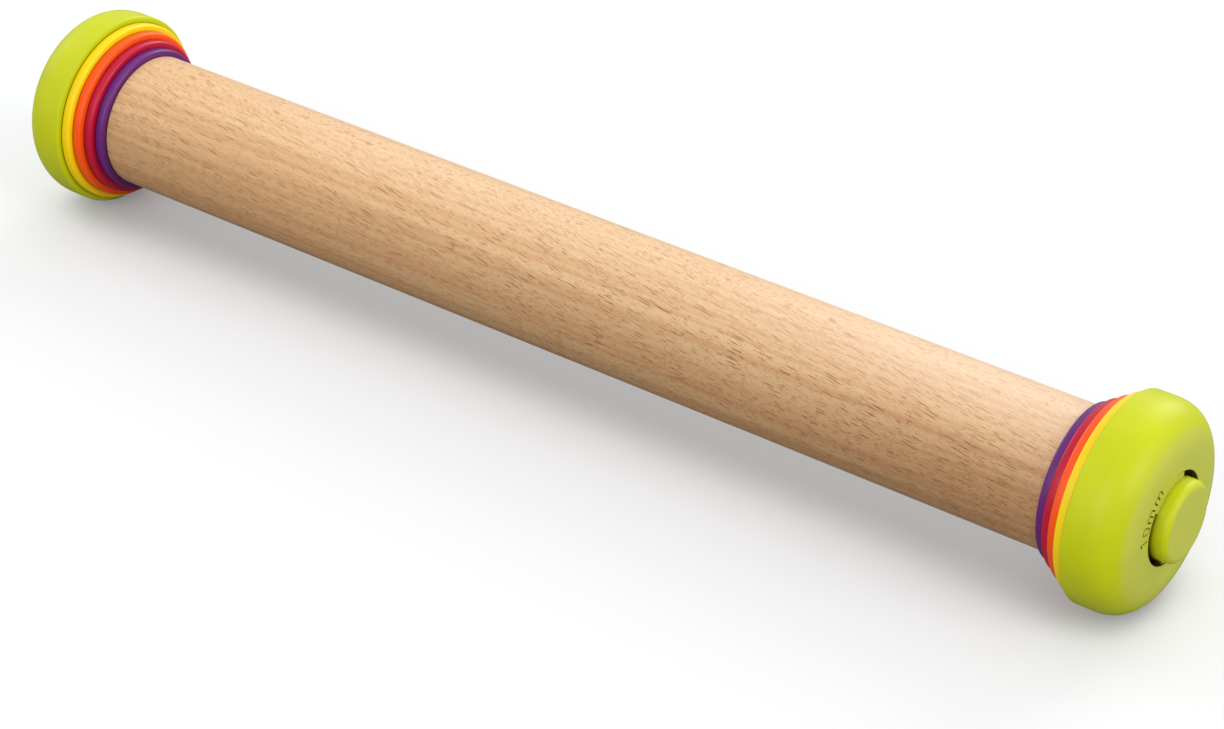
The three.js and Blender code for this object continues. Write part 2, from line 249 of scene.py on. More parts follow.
@dataclass(frozen=True)
class SandedBeech:
    """Steamed beech, turned and sanded: a warm tan with dark ray dashes, fine streaks and straight rings."""

    light: str = "#e7c398"
    deep_bands: Wash = Wash("#bb834c", 0.48, 0.7, 0.44)
    pale_bands: Wash = Wash("#f6ddb6", 0.45, 0.28, 0.38)
    rings: Wash = Wash("#c48d57", 0.0, 1.0, 0.36)
    blushes: Wash = Wash("#dfa87c", 0.5, 0.72, 0.25)
    deep_streaks: Wash = Wash("#bb834c", 0.5, 0.72, 0.24)
    pale_streaks: Wash = Wash("#f6ddb6", 0.5, 0.3, 0.2)
    pores: Wash = Wash("#bb834c", 0.52, 0.75, 0.34)
    flecked: Wash = Wash("#bf7d42", 0.0, 1.0, 0.8)
    rayed: Wash = Wash("#8a5000", 0.0, 1.0)
    crown: Wash = Wash("#f9c894", 10.0, -90.0, 0.22)
    butt: Wash = Wash("#f1ede9", 85.0, 150.0, blend=Blend.TINT)
    # Painted highlight: the top is paled towards the right end and dimmed towards the left end.
    bleached: Wash = Wash("#f4dcc4", 40.0, 120.0, 0.3)
    sunned: Wash = Wash("#fbf5eb", -95.0, -155.0, blend=Blend.TINT)
    scorched: Wash = Wash("#e8e1d8", 0.01, 0.08, blend=Blend.TINT)
    long_rays: Dashes = Dashes(15.0, 0.5, 1.2, 0.18, 0.38, 1.0, far_share=0.35)
    short_rays: Dashes = Dashes(5.0, 0.34, 0.7, 0.16, 0.38, 0.92, far_share=0.7)
    flecks: Dashes = Dashes(9.0, 0.9, 3.2, 0.2, 0.36, 0.9, 0.5, 0.4)
    band_mm: Size = (160.0, 2.4, 3.2)
    patch_mm: Size = (30.0, 9.0, 9.0)
    pore_mm: Size = (0.9, 0.3, 0.3)
    streak_mm: Size = (3.6, 0.34, 0.6)
    bend_mm: Size = (34.0, 16.0, 16.0)
    bend_shift_mm: float = 2.5
    grain_yaw_degrees: float = -10.0
    grain_pitch_degrees: float = -5.0
    bark_side_degrees: float = 175.0
    bark_reach: float = 0.9
    ray_fade_start: float = 0.3
    far_bands: float = 0.35
    fleck_span: tuple[float, float] = (0.6, 0.2)
    front_start: float = 0.8
    top_start: float = 0.6
    heart_distance_mm: float = 110.0
    ring_mm: float = 2.4
    ring_phase_mm: float = -0.6
    ring_wander_mm: float = 1.1
    ring_wander_span_mm: Size = (70.0, 9.0, 9.0)
    ring_darkening: tuple[float, float] = (0.45, 0.9)
    ring_edge: float = 0.93
    far_rings: float = 0.25
    # Painted shade: the roller darkens towards its lower front side, by the tones below.
    deep_side_degrees: float = 200.0
    tones: tuple[tuple[float, str], ...] = (
        (180.0, "#ffffff"),
        (105.0, "#ffffff"),
        (90.0, "#fcfaf8"),
        (75.0, "#f8f1ea"),
        (65.0, "#f6efe5"),
        (55.0, "#f1e8dd"),
        (45.0, "#e8dfd1"),
        (28.0, "#e6dbcc"),
    )
    scorch_reach_mm: float = 0.3
    scorch_inset_mm: float = 1.0
    roughness: tuple[float, float] = (0.4, 0.54)
    specular: float = 0.45
    relief_mm: float = 0.06
    relief_strength: float = 0.25

    def build(self) -> Material:
        """Builds the wood from its grain, rings, rays and streaks.

        Returns:
            The material.
        """
        material, tree = new_material("sanded_beech")
        place = self._place(tree)
        trunk = self._facing(tree, place, self.bark_side_degrees)
        height = add_node(tree, "SeparateXYZ", {0: trunk}).outputs[2]
        near = add_node(tree, "MapRange", {0: height, 2: self.bark_reach * PIN.roller_radius})
        grain = self._bent(tree, self._along_grain(tree, place))
        rays = self._rays(tree, grain, near)
        streaks = self._noise(tree, grain, self.streak_mm, 2.0)
        colour = self._colour(tree, grain, trunk, near, rays, streaks)
        colour = self._graded(tree, place, near, colour)
        colour = self._scorched(tree, place, self._toned(tree, place, colour))
        smooth, rough = self.roughness
        gloss = add_node(tree, "MapRange", {0: streaks, 3: smooth, 4: rough})
        relief = add_node(tree, "Math", {0: rays, 1: -1.0, 2: streaks}, operation="MULTIPLY_ADD")
        bump = {"Strength": self.relief_strength, "Distance": self.relief_mm * MM, "Height": relief}
        inputs = {"Base Color": colour, "Roughness": gloss, "Specular IOR Level": self.specular}
        finish_material(tree, {**inputs, "Normal": add_node(tree, "Bump", bump)})
        return material

    def _place(self, tree: NodeTree) -> Node:
        """Measures places from the middle of the roller.

        Args:
            tree: the material's node tree.

        Returns:
            The place, in mm.
        """
        place = add_node(tree, "TexCoord", {}).outputs["Object"]
        middle = (0, 0, PIN.axis_height * MM)
        centred = add_node(tree, "VectorMath", {0: place, 1: middle}, operation="SUBTRACT")
        return add_node(tree, "VectorMath", {0: centred, "Scale": 1 / MM}, operation="SCALE")

    def _facing(self, tree: NodeTree, place: Source, degrees: float) -> Node:
        """Turns a place about the pin's axis until Z points to an angle, given from +Y towards +Z."""
        return add_node(tree, "Mapping", {0: place, "Rotation": (-math.radians(degrees - 90), 0, 0)})

    def _along_grain(self, tree: NodeTree, place: Source) -> Node:
        """Turns a place to the fibres' own axes.

        Args:
            tree: the material's node tree.
            place: the place, in mm.

        Returns:
            The place with X along the fibres, Y round the trunk and Z towards the bark.
        """
        yaw = math.radians(self.grain_yaw_degrees)
        pitch = math.radians(self.grain_pitch_degrees)
        level = add_node(tree, "Mapping", {0: place, "Rotation": (0, pitch, -yaw)})
        return self._facing(tree, level, self.bark_side_degrees)

    def _noise(self, tree: NodeTree, grain: Source, size: Size, detail: float) -> Node:
        """Makes noise whose grain has a real size.

        Args:
            tree: the material's node tree.
            grain: place in the trunk, in mm.
            size: how far the noise stretches up the trunk, round it and towards the bark, in mm.
            detail: octaves of the noise.

        Returns:
            The noise, with its value first and its colour second.
        """
        share = tuple(1 / s for s in size)
        scaled = add_node(tree, "VectorMath", {0: grain, 1: share}, operation="MULTIPLY")
        return add_node(tree, "TexNoise", {"Vector": scaled, "Scale": 1.0, "Detail": detail})

    def _bent(self, tree: NodeTree, grain: Source) -> Node:
        """Bends the grain a little from place to place, as a trunk grows.

        Args:
            tree: the material's node tree.
            grain: place in the trunk, in mm.

        Returns:
            The moved place.
        """
        noise = self._noise(tree, grain, self.bend_mm, 1.0).outputs[1]
        middle = add_node(tree, "VectorMath", {0: noise, 1: (0.5, 0.5, 0.5)}, operation="SUBTRACT")
        reach = (0.0, self.bend_shift_mm, self.bend_shift_mm)
        shift = add_node(tree, "VectorMath", {0: middle, 1: reach}, operation="MULTIPLY")
        return add_node(tree, "VectorMath", {0: grain, 1: shift}, operation="ADD")

    def _dashes(self, tree: NodeTree, grain: Source, kind: Dashes) -> Node:
        """Makes one kind of ray.

        Args:
            tree: the material's node tree.
            grain: place in the trunk, in mm.
            kind: the rays' sizes.

        Returns:
            How dark the rays are, from 0 to 1.
        """
        cell = (1 / kind.length, 1 / kind.width, 1 / kind.height)
        scaled = add_node(tree, "VectorMath", {0: grain, 1: cell}, operation="MULTIPLY")
        cells = add_node(tree, "TexVoronoi", {"Vector": scaled, "Scale": 1.0})
        lot = add_node(tree, "SeparateColor", {0: cells.outputs["Color"]})
        reach = add_node(tree, "MapRange", {0: lot, 3: kind.least_reach, 4: kind.most_reach})
        inner = add_node(tree, "Math", {0: reach, 1: kind.core}, operation="MULTIPLY")
        ends = {0: cells.outputs["Distance"], 1: reach, 2: inner}
        dash = add_node(tree, "MapRange", ends, interpolation_type="SMOOTHSTEP")
        depths = {0: lot.outputs[1], 1: 1 - kind.shown_share, 3: kind.palest * kind.depth, 4: kind.depth}
        return add_node(tree, "Math", {0: dash, 1: add_node(tree, "MapRange", depths)}, operation="MULTIPLY")

    def _rays(self, tree: NodeTree, grain: Source, near: Source) -> Node:
        """Makes the long and the short rays, which fade away from the bark side.

        Args:
            tree: the material's node tree.
            grain: place in the trunk, in mm.
            near: how far a place lies towards the bark side, from 0 to 1.

        Returns:
            How dark the darker of the two is.
        """
        layers: Inputs = {}
        for i, kind in enumerate((self.long_rays, self.short_rays)):
            share = add_node(tree, "MapRange", {0: near, 1: self.ray_fade_start, 3: kind.far_share})
            dashes = self._dashes(tree, grain, kind)
            layers[i] = add_node(tree, "Math", {0: dashes, 1: share}, operation="MULTIPLY")
        return add_node(tree, "Math", layers, operation="MAXIMUM")

    def _rings(self, tree: NodeTree, trunk: Source, near: Source) -> Node:
        """Makes growth rings about a heart that lies off the roller.

        Args:
            tree: the material's node tree.
            trunk: the place with Z towards the bark, in mm.
            near: how far a place lies towards the bark side, from 0 to 1.

        Returns:
            How dark each ring is: it darkens outwards, then starts again light.
        """
        heart = {0: trunk, 1: (0, 0, self.heart_distance_mm)}
        flat = {0: add_node(tree, "VectorMath", heart, operation="ADD"), 1: ACROSS}
        radius = {0: add_node(tree, "VectorMath", flat, operation="MULTIPLY")}
        distance = add_node(tree, "VectorMath", radius, operation="LENGTH").outputs["Value"]
        wander = self._noise(tree, trunk, self.ring_wander_span_mm, 1.0)
        moves = {0: wander, 1: self.ring_wander_mm, 2: distance}
        moved = add_node(tree, "Math", moves, operation="MULTIPLY_ADD")
        phase = self.ring_phase_mm - self.ring_wander_mm / 2
        shifted = add_node(tree, "Math", {0: moved, 1: phase}, operation="ADD")
        turns = add_node(tree, "Math", {0: shifted, 1: self.ring_mm}, operation="DIVIDE")
        wave = add_node(tree, "Math", {0: turns}, operation="FRACT")
        start, full = self.ring_darkening
        late = add_node(tree, "MapRange", {0: wave, 1: start, 2: full}, interpolation_type="SMOOTHSTEP")
        fresh = add_node(tree, "MapRange", {0: wave, 1: self.ring_edge, 3: 1.0, 4: 0.0})
        sharp = add_node(tree, "Math", {0: late, 1: fresh}, operation="MULTIPLY")
        shown = add_node(tree, "MapRange", {0: near, 3: self.far_rings})
        return add_node(tree, "Math", {0: sharp, 1: shown}, operation="MULTIPLY")

    def _laid(
        self, tree: NodeTree, wash: Wash, pattern: Source, ground: Any, where: Source | None = None
    ) -> NodeSocket:
        """Lays a wash over a ground.

        Args:
            tree: the material's node tree.
            wash: the wash.
            pattern: the value that rules how much of it shows.
            ground: the colour under it.
            where: a share that keeps it to one side, if it keeps to one.

        Returns:
            The mixed colour.
        """
        amount = add_node(tree, "MapRange", {0: pattern, 1: wash.start, 2: wash.full, 4: wash.share})
        if where is not None:
            amount = add_node(tree, "Math", {0: amount, 1: where}, operation="MULTIPLY")
        inputs = {0: amount, 6: ground, 7: linear(wash.colour)}
        return add_node(tree, "Mix", inputs, data_type="RGBA", blend_type=wash.blend.value).outputs[2]

    def _colour(
        self, tree: NodeTree, grain: Source, trunk: Source, near: Source, rays: Source, streaks: Source
    ) -> NodeSocket:
        """Lays the bands, rings, blushes, streaks, pores, flecks and rays over the light ground.

        Args:
            tree: the material's node tree.
            grain: place in the trunk, in mm, along the bent fibres.
            trunk: the place with Z towards the bark, in mm.
            near: how far a place lies towards the bark side, from 0 to 1.
            rays: how dark the rays are.
            streaks: the fine streaks' noise.

        Returns:
            The wood's colour.
        """
        bands = self._noise(tree, trunk, self.band_mm, 2.0)
        banded = add_node(tree, "MapRange", {0: near, 1: self.ray_fade_start, 3: self.far_bands})
        rings = self._rings(tree, trunk, near)
        patches = self._noise(tree, grain, self.patch_mm, 1.0)
        pores = self._noise(tree, grain, self.pore_mm, 1.0)
        flecks = self._dashes(tree, grain, self.flecks)
        start, full = self.fleck_span
        heartwards = add_node(tree, "MapRange", {0: near, 1: start, 2: full})
        colour: Any = linear(self.light)
        for wash, pattern, where in (
            (self.deep_bands, bands, banded),
            (self.pale_bands, bands, banded),
            (self.rings, rings, None),
            (self.blushes, patches, None),
            (self.deep_streaks, streaks, None),
            (self.pale_streaks, streaks, None),
            (self.pores, pores, None),
            (self.flecked, flecks, heartwards),
            (self.rayed, rays, None),
        ):
            colour = self._laid(tree, wash, pattern, colour, where)
        return colour

    def _graded(self, tree: NodeTree, place: Source, near: Source, colour: NodeSocket) -> NodeSocket:
        """Warms the crown end, on the left, and deepens the butt end's bark side; paints a highlight on top
        towards the right end and dims the top towards the left end.

        Args:
            tree: the material's node tree.
            place: the place from the middle of the roller, in mm.
            near: how far a place lies towards the bark side, from 0 to 1.
            colour: the wood's colour.

        Returns:
            The colour, graded from end to end.
        """
        along = add_node(tree, "SeparateXYZ", {0: place})
        front = add_node(tree, "MapRange", {0: near, 1: self.front_start})
        top = self.top_start * PIN.roller_radius
        above = add_node(tree, "MapRange", {0: along.outputs[2], 1: top, 2: PIN.roller_radius})
        for wash, side in (
            (self.crown, near),
            (self.butt, front),
            (self.bleached, above),
            (self.sunned, above),
        ):
            colour = self._laid(tree, wash, along, colour, side)
        return colour

    def _toned(self, tree: NodeTree, place: Source, colour: NodeSocket) -> NodeSocket:
        """Paints shade onto the roller's lower front side, by a tone for each angle away from it.

        Args:
            tree: the material's node tree.
            place: the place from the middle of the roller, in mm.
            colour: the wood's colour.

        Returns:
            The toned colour.
        """
        turned_place = self._facing(tree, place, self.deep_side_degrees)
        flat = add_node(tree, "VectorMath", {0: turned_place, 1: ACROSS}, operation="MULTIPLY")
        side = add_node(tree, "VectorMath", {0: flat}, operation="NORMALIZE")
        height = add_node(tree, "SeparateXYZ", {0: side}).outputs[2]
        ramp = add_node(tree, "ValToRGB", {0: add_node(tree, "MapRange", {0: height, 1: -1.0})})
        stops = ramp.color_ramp.elements
        # The new stops start halfway, and each one is set to its own place below.
        while len(stops) < len(self.tones):
            stops.new(0.5)
        for stop, (degrees, tone) in zip(stops, self.tones):
            stop.position = (1 + math.cos(math.radians(degrees))) / 2
            stop.color = linear(tone)
        inputs = {0: 1.0, 6: colour, 7: ramp}
        return add_node(tree, "Mix", inputs, data_type="RGBA", blend_type=Blend.TINT.value).outputs[2]

    def _scorched(self, tree: NodeTree, place: Source, colour: NodeSocket) -> NodeSocket:
        """Browns the floors of the engraved scale, which lie just under the turned surface.

        Args:
            tree: the material's node tree.
            place: the place from the middle of the roller, in mm.
            colour: the wood's colour.

        Returns:
            The colour, with the scale's floors browned.
        """
        flat = add_node(tree, "VectorMath", {0: place, 1: ACROSS}, operation="MULTIPLY")
        radius = add_node(tree, "VectorMath", {0: flat}, operation="LENGTH").outputs["Value"]
        sunk = add_node(tree, "Math", {0: PIN.roller_radius, 1: radius}, operation="SUBTRACT")
        shallow = add_node(tree, "Math", {0: sunk, 1: self.scorch_reach_mm}, operation="LESS_THAN")
        along = add_node(tree, "Math", {0: add_node(tree, "SeparateXYZ", {0: place})}, operation="ABSOLUTE")
        last = PIN.roller_length / 2 - self.scorch_inset_mm
        inside = add_node(tree, "Math", {0: along, 1: last}, operation="LESS_THAN")
        where = add_node(tree, "Math", {0: shallow, 1: inside}, operation="MULTIPLY")
        return self._laid(tree, self.scorched, sunk, colour, where)


@dataclass(frozen=True)
class MouldedPlastic:
    """Injection-moulded ABS or nylon from a finely spark-eroded tool: even colour, soft broad highlights."""

    name: str
    colour: str
    # Painted reflection: a paler, greyer colour for faces that look outwards along the pin.
    face_colour: str
    roughness: float = 0.3
    roughness_spread: tuple[float, float] = (-0.04, 0.06)
    specular: float = 0.4
    erosion_mm: float = 0.45
    erosion_depth_mm: float = 0.012
    erosion_strength: float = 0.5
    cloud_mm: float = 14.0
    cloud_span: tuple[float, float] = (0.3, 0.7)
    mottle: float = 0.03
    # Painted shade: ambient occlusion darkens each plastic towards gap_shade in gaps, hollows and the size
    # mark's strokes.
    gap_reach_mm: float = 3.7
    gap_samples: int = 8
    gap_openness: tuple[float, float] = (0.64, 0.32)
    gap_shade: str = "#565044"
    face_turn: tuple[float, float] = (0.8, 0.98)

    def build(self) -> Material:
        """Builds the plastic.

        Returns:
            The material.
        """
        material, tree = new_material(self.name)
        place = add_node(tree, "TexCoord", {}).outputs["Object"]
        grit, cloud = (
            add_node(tree, "TexNoise", {"Vector": place, "Scale": 1 / (size * MM), "Detail": 2.0})
            for size in (self.erosion_mm, self.cloud_mm)
        )
        low, high = self.cloud_span
        mottled = {0: cloud, 1: low, 2: high, 3: 1 - self.mottle, 4: 1 + self.mottle}
        shade = add_node(tree, "MapRange", mottled)
        even = add_node(tree, "HueSaturation", {"Color": self._ground(tree), "Value": shade})
        smooth, rough = (self.roughness + spread for spread in self.roughness_spread)
        gloss = add_node(tree, "MapRange", {0: grit, 3: smooth, 4: rough})
        bump = {"Strength": self.erosion_strength, "Distance": self.erosion_depth_mm * MM, "Height": grit}
        # The base colour carries the painted shade of the gaps.
        inputs = {"Base Color": self._dusted(tree, even), "Roughness": gloss}
        inputs["Specular IOR Level"] = self.specular
        finish_material(tree, {**inputs, "Normal": add_node(tree, "Bump", bump)})
        return material

    def _dusted(self, tree: NodeTree, colour: Source) -> NodeSocket:
        """Paints shade deep in a gap, where ambient occlusion darkens the colour towards the gap shade.

        Args:
            tree: the material's node tree.
            colour: the plastic's colour before the painted shade.

        Returns:
            The colour with painted shade in its gaps.
        """
        reach = {"Distance": self.gap_reach_mm * MM}
        closed = add_node(tree, "AmbientOcclusion", reach, samples=self.gap_samples)
        start, full = self.gap_openness
        span = {0: closed.outputs["AO"], 1: start, 2: full}
        share = add_node(tree, "MapRange", span, interpolation_type="SMOOTHSTEP")
        inputs = {0: share, 6: colour, 7: linear(self.gap_shade)}
        return add_node(tree, "Mix", inputs, data_type="RGBA", blend_type=Blend.TINT.value).outputs[2]

    def _ground(self, tree: NodeTree) -> NodeSocket:
        """Mixes the rims' colour with a paler painted reflection of the surround on faces that look outwards
        along the pin.

        Args:
            tree: the material's node tree.

        Returns:
            The plastic's ground colour.
        """
        shape = add_node(tree, "NewGeometry", {})
        normal = add_node(tree, "SeparateXYZ", {0: shape.outputs["True Normal"]})
        place = add_node(tree, "SeparateXYZ", {0: shape.outputs["Position"]})
        side = add_node(tree, "Math", {0: place}, operation="SIGN")
        outwards = add_node(tree, "Math", {0: normal, 1: side}, operation="MULTIPLY")
        start, full = self.face_turn
        share = add_node(tree, "MapRange", {0: outwards, 1: start, 2: full}, interpolation_type="SMOOTHSTEP")
        inputs = {0: share, 6: linear(self.colour), 7: linear(self.face_colour)}
        return add_node(tree, "Mix", inputs, data_type="RGBA").outputs[2]


@dataclass(frozen=True)
class TurnedMetal:
    """Bar metal, turned on a lathe: rings round the axis catch the light, drawn coarser than the tool's."""

    name: str
    colour: str
    roughness: tuple[float, float] = (0.23, 0.38)
    tool_mark_mm: float = 0.754
    mark_depth_mm: float = 0.01
    mark_strength: float = 0.3
    wobble: float = 1.5

    def build(self) -> Material:
        """Builds the metal.

        Returns:
            The material.
        """
        material, tree = new_material(self.name)
        place = add_node(tree, "TexCoord", {}).outputs["Object"]
        scale = 2 * math.pi / WAVE_RADIANS / (self.tool_mark_mm * MM)
        wave = {"Vector": place, "Scale": scale, "Distortion": self.wobble, "Detail": 2.0}
        marks = add_node(tree, "TexWave", wave, wave_type="BANDS", bands_direction="X").outputs[1]
        smooth, rough = self.roughness
        gloss = add_node(tree, "MapRange", {0: marks, 3: smooth, 4: rough})
        bump = {"Strength": self.mark_strength, "Distance": self.mark_depth_mm * MM, "Height": marks}
        inputs = {"Base Color": linear(self.colour), "Metallic": 1.0, "Roughness": gloss}
        finish_material(tree, {**inputs, "Normal": add_node(tree, "Bump", bump)})
        return material


@dataclass(frozen=True)
class NitrileRubber:
    """Black nitrile sheet, stamped to a ring: matt, with a faint bloom."""

    name: str = "nitrile_rubber"
    colour: str = "#161616"
    bloom: str = "#232323"
    bloom_mm: float = 3.0
    relief_mm: float = 0.03
    relief_strength: float = 0.3
    roughness: float = 0.8

    def build(self) -> Material:
        """Builds the rubber.

        Returns:
            The material.
        """
        material, tree = new_material(self.name)
        place = add_node(tree, "TexCoord", {}).outputs["Object"]
        cloud = {"Vector": place, "Scale": 1 / (self.bloom_mm * MM), "Detail": 4.0}
        bloomed = add_node(tree, "TexNoise", cloud)
        inputs = {0: bloomed, 6: linear(self.colour), 7: linear(self.bloom)}
        colour = add_node(tree, "Mix", inputs, data_type="RGBA").outputs[2]
        bump = {"Strength": self.relief_strength, "Distance": self.relief_mm * MM, "Height": bloomed}
        inputs = {"Base Color": colour, "Roughness": self.roughness}
        finish_material(tree, {**inputs, "Normal": add_node(tree, "Bump", bump)})
        return material


def arc(along: float, radius: float, bend: float, start: float, end: float, steps: int) -> list[Point]:
    """Puts points on an arc of a profile.

    Args:
        along: the arc's centre along the pin.
        radius: the arc's centre, out from the axis.
        bend: the arc's own radius.
        start: its first angle in degrees, 0 pointing away from the axis and 90 outwards along the pin.
        end: its last angle.
        steps: how many chords it is cut into.

    Returns:
        The points, first and last included.
    """
    angles = [math.radians(start + (end - start) * i / steps) for i in range(steps + 1)]
    return [(along + bend * math.sin(a), radius + bend * math.cos(a)) for a in angles]


def round_corner(before: Point, corner: Point, after: Point, bend: float, steps: int = 5) -> list[Point]:
    """Rounds one corner of a profile.

    Args:
        before: the point ahead of the corner.
        corner: the corner itself.
        after: the point behind it.
        bend: how far from the corner the rounding begins.
        steps: how many chords it is cut into.

    Returns:
        The points that take the corner's place.
    """
    here = Vector(corner)
    first = here + (Vector(before) - here).normalized() * bend
    last = here + (Vector(after) - here).normalized() * bend
    points = []
    for i in range(steps + 1):
        t = i / steps
        spot = first * (1 - t) ** 2 + here * 2 * t * (1 - t) + last * t**2
        points.append((spot.x, spot.y))
    return points


def eased(profile: Sequence[Point], bends: dict[int, float]) -> list[Point]:
    """Rounds the named corners of a profile.

    Args:
        profile: the profile's corners, along and out.
        bends: for each corner's number, how far from it the rounding begins.

    Returns:
        The profile with its corners rounded.
    """
    made: list[Point] = []
    for i, corner in enumerate(profile):
        if i in bends:
            made += round_corner(profile[i - 1], corner, profile[(i + 1) % len(profile)], bends[i])
        else:
            made.append(corner)
    return made


def around(along: float, radius: float, angle: float) -> Vector:
    """A point by its place along the pin, its distance from the axis and its angle in radians."""
    return Vector((along, radius * math.cos(angle), radius * math.sin(angle)))


def full_turn(sides: int, shift: float = 0.0) -> list[float]:
    """Even angles over one turn, in radians, shifted by a share of a step."""
    return [2 * math.pi * (i + shift) / sides for i in range(sides)]


def loop(along: float, radius: float, turns: Sequence[float]) -> list[Vector]:
    """Points round the axis at one place along it, or the single point there if the radius is 0."""
    return [around(along, radius, angle) for angle in (turns if radius else turns[:1])]


def as_mesh(name: str, shape: bmesh.types.BMesh) -> Mesh:
    """Turns a working shape into a mesh, and frees the shape.

    Args:
        name: the mesh's name.
        shape: the working shape.

    Returns:
        The mesh.
    """
    mesh = bpy.data.meshes.new(name)
    shape.to_mesh(mesh)
    shape.free()
    return mesh


def block(name: str, place: Matrix) -> Mesh:
    """Makes a unit cube, sized and placed by a matrix.

    Args:
        name: the mesh's name.
        place: the matrix.

    Returns:
        The mesh.
    """
    shape = bmesh.new()
    bmesh.ops.create_cube(shape, matrix=place)
    return as_mesh(name, shape)


def skin(name: str, rows: Sequence[Sequence[Vector]], closed: bool) -> Mesh:
    """Joins rows of points, each a loop round the axis, into a clean closed mesh.

    Args:
        name: the mesh's name.
        rows: the loops, each with as many points as the rest, or with one on the axis.
        closed: whether the last loop joins the first.

    Returns:
        The mesh, with its faces looking out.
    """
    shell = bmesh.new()
    loops = [[shell.verts.new(p) for p in row] for row in rows]
    pairs = list(zip(loops, loops[1:])) + ([(loops[-1], loops[0])] if closed else [])
    for low, high in pairs:
        count = max(len(low), len(high))
        for i in range(count):
            j = (i + 1) % count
            if len(low) == 1:
                shell.faces.new((low[0], high[j], high[i]))
            elif len(high) == 1:
                shell.faces.new((low[i], low[j], high[0]))
            else:
                shell.faces.new((low[i], low[j], high[j], high[i]))
    bmesh.ops.recalc_face_normals(shell, faces=shell.faces)
    return as_mesh(name, shell)


def turned(name: str, profile: Sequence[Point], closed: bool, sides: int = 192) -> Mesh:
    """Turns a profile about the pin's axis.

    Args:
        name: the mesh's name.
        profile: points along the pin and out from its axis.
        closed: whether the profile closes on itself, or starts and ends on the axis.
        sides: how many steps make a turn.

    Returns:
        The mesh.
    """
    turns = full_turn(sides, shift=0.5)
    return skin(name, [loop(along, radius, turns) for along, radius in profile], closed)


def groove(
    path: Sequence[Vector], outwards: Callable[[Vector], Vector], wide: float, deep: float, sides: int
) -> Mesh:
    """Makes a bar that cuts a round-bottomed groove along a path on a surface.

    Args:
        path: the groove's middle line; it closes on itself where it ends at its first point.
        outwards: the surface's normal at a point.
        wide: the groove's width.
        deep: its depth.
        sides: how many faces the bar has.

    Returns:
        The bar, closed on itself or pointed at both ends.
    """
    looped = (path[0] - path[-1]).length < CLOSING_GAP_MM
    spots = path[:-1] if looped else path
    ring = full_turn(sides)
    rows = []
    for i, spot in enumerate(spots):
        ahead = spots[(i + 1) % len(spots)] if looped or i + 1 < len(spots) else spot
        behind = spots[i - 1] if looped or i > 0 else spot
        normal = outwards(spot)
        aside = (ahead - behind).cross(normal).normalized()
        rows.append([spot + normal * deep * math.cos(a) + aside * wide / 2 * math.sin(a) for a in ring])
    if not looped:
        tip = (path[0] - path[1]).normalized() * wide / 4
        tail = (path[-1] - path[-2]).normalized() * wide / 4
        rows = [[path[0] + tip]] + rows + [[path[-1] + tail]]
    return skin("stroke", rows, looped)


def as_object(name: str, mesh: Mesh) -> bpy.types.Object:
    """Puts a mesh into the scene.

    Args:
        name: the object's name.
        mesh: its mesh.

    Returns:
        The object.
    """
    made = bpy.data.objects.new(name, mesh)
    bpy.context.scene.collection.objects.link(made)
    return made


def combined(mesh: Mesh, tools: Sequence[Mesh], work: Work) -> Mesh:
    """Cuts meshes out of a mesh, or joins them to it.

    Args:
        mesh: the mesh to work on.
        tools: closed meshes in the same frame.
        work: what the tools do to it.

    Returns:
        The finished mesh, with no edge too short to see.
    """
    body = as_object("work", mesh)
    helpers = [as_object("tool", tool) for tool in tools]
    for helper in helpers:
        step = body.modifiers.new("step", "BOOLEAN")
        step.operation = work.value
        step.solver = "EXACT"
        step.object = helper
    graph = bpy.context.evaluated_depsgraph_get()
    made = bpy.data.meshes.new_from_object(body.evaluated_get(graph))
    for helper in (body, *helpers):
        bpy.data.objects.remove(helper)
    shape = bmesh.new()
    shape.from_mesh(made)
    bmesh.ops.dissolve_degenerate(shape, dist=LEAST_EDGE_MM, edges=shape.edges)
    return as_mesh(mesh.name, shape)


@dataclass
class Piece:
    """One piece of the visual model: its mesh in its end's frame, finish, body and record slot."""

    node: str
    mesh: Mesh
    finish: Material
    slot: str
    body: str
    sharp_degrees: float = 32.0

    def show(self, place: Matrix) -> None:
        """Stands the piece in for its CAD node.

        Args:
            place: the matrix from the mesh's frame to the row frame.
        """
        mesh = self.mesh.copy()
        mesh.transform(place)
        mesh.materials.clear()
        mesh.materials.append(self.finish)
        mesh.shade_smooth()
        mesh.set_sharp_from_angle(angle=math.radians(self.sharp_degrees))
        made = as_object("fine_" + self.node, mesh)
        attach(made, self.body)
        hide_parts(self.node)
        LOG.info("%s: %d faces on body %s", made.name, len(mesh.polygons), self.body)


@dataclass(frozen=True)
class ScaleRow:
    """One row of the engraved scale, alike on both sides: in mm along the pin and in degrees round it."""

    unit: float
    step: float
    long_step: float
    first: float
    last: float
    long_last: float
    short_span: tuple[float, float]
    long_span: tuple[float, float]
    foot_degrees: float
    height: float
    digit_width: float
    digit_gap: float
    clear: float

    def places(self, step: float, last: float) -> list[float]:
        """Places at even steps from the first up to the last, in mm from the middle."""
        count = round((last - self.first) / step)
        return [round(self.first + step * i, 3) for i in range(count + 1)]

    def marks(self) -> dict[float, tuple[float, float]]:
        """The span of every tick, by its place."""
        marks = dict.fromkeys(self.places(self.step, self.last), self.short_span)
        return marks | dict.fromkeys(self.places(self.long_step, self.long_last), self.long_span)

    def numbers(self) -> dict[float, str]:
        """The number beside every long tick, which is the whole width between it and its twin."""
        marks = self.places(self.long_step, self.long_last)
        return {place: str(round(2 * place / self.unit)) for place in marks}


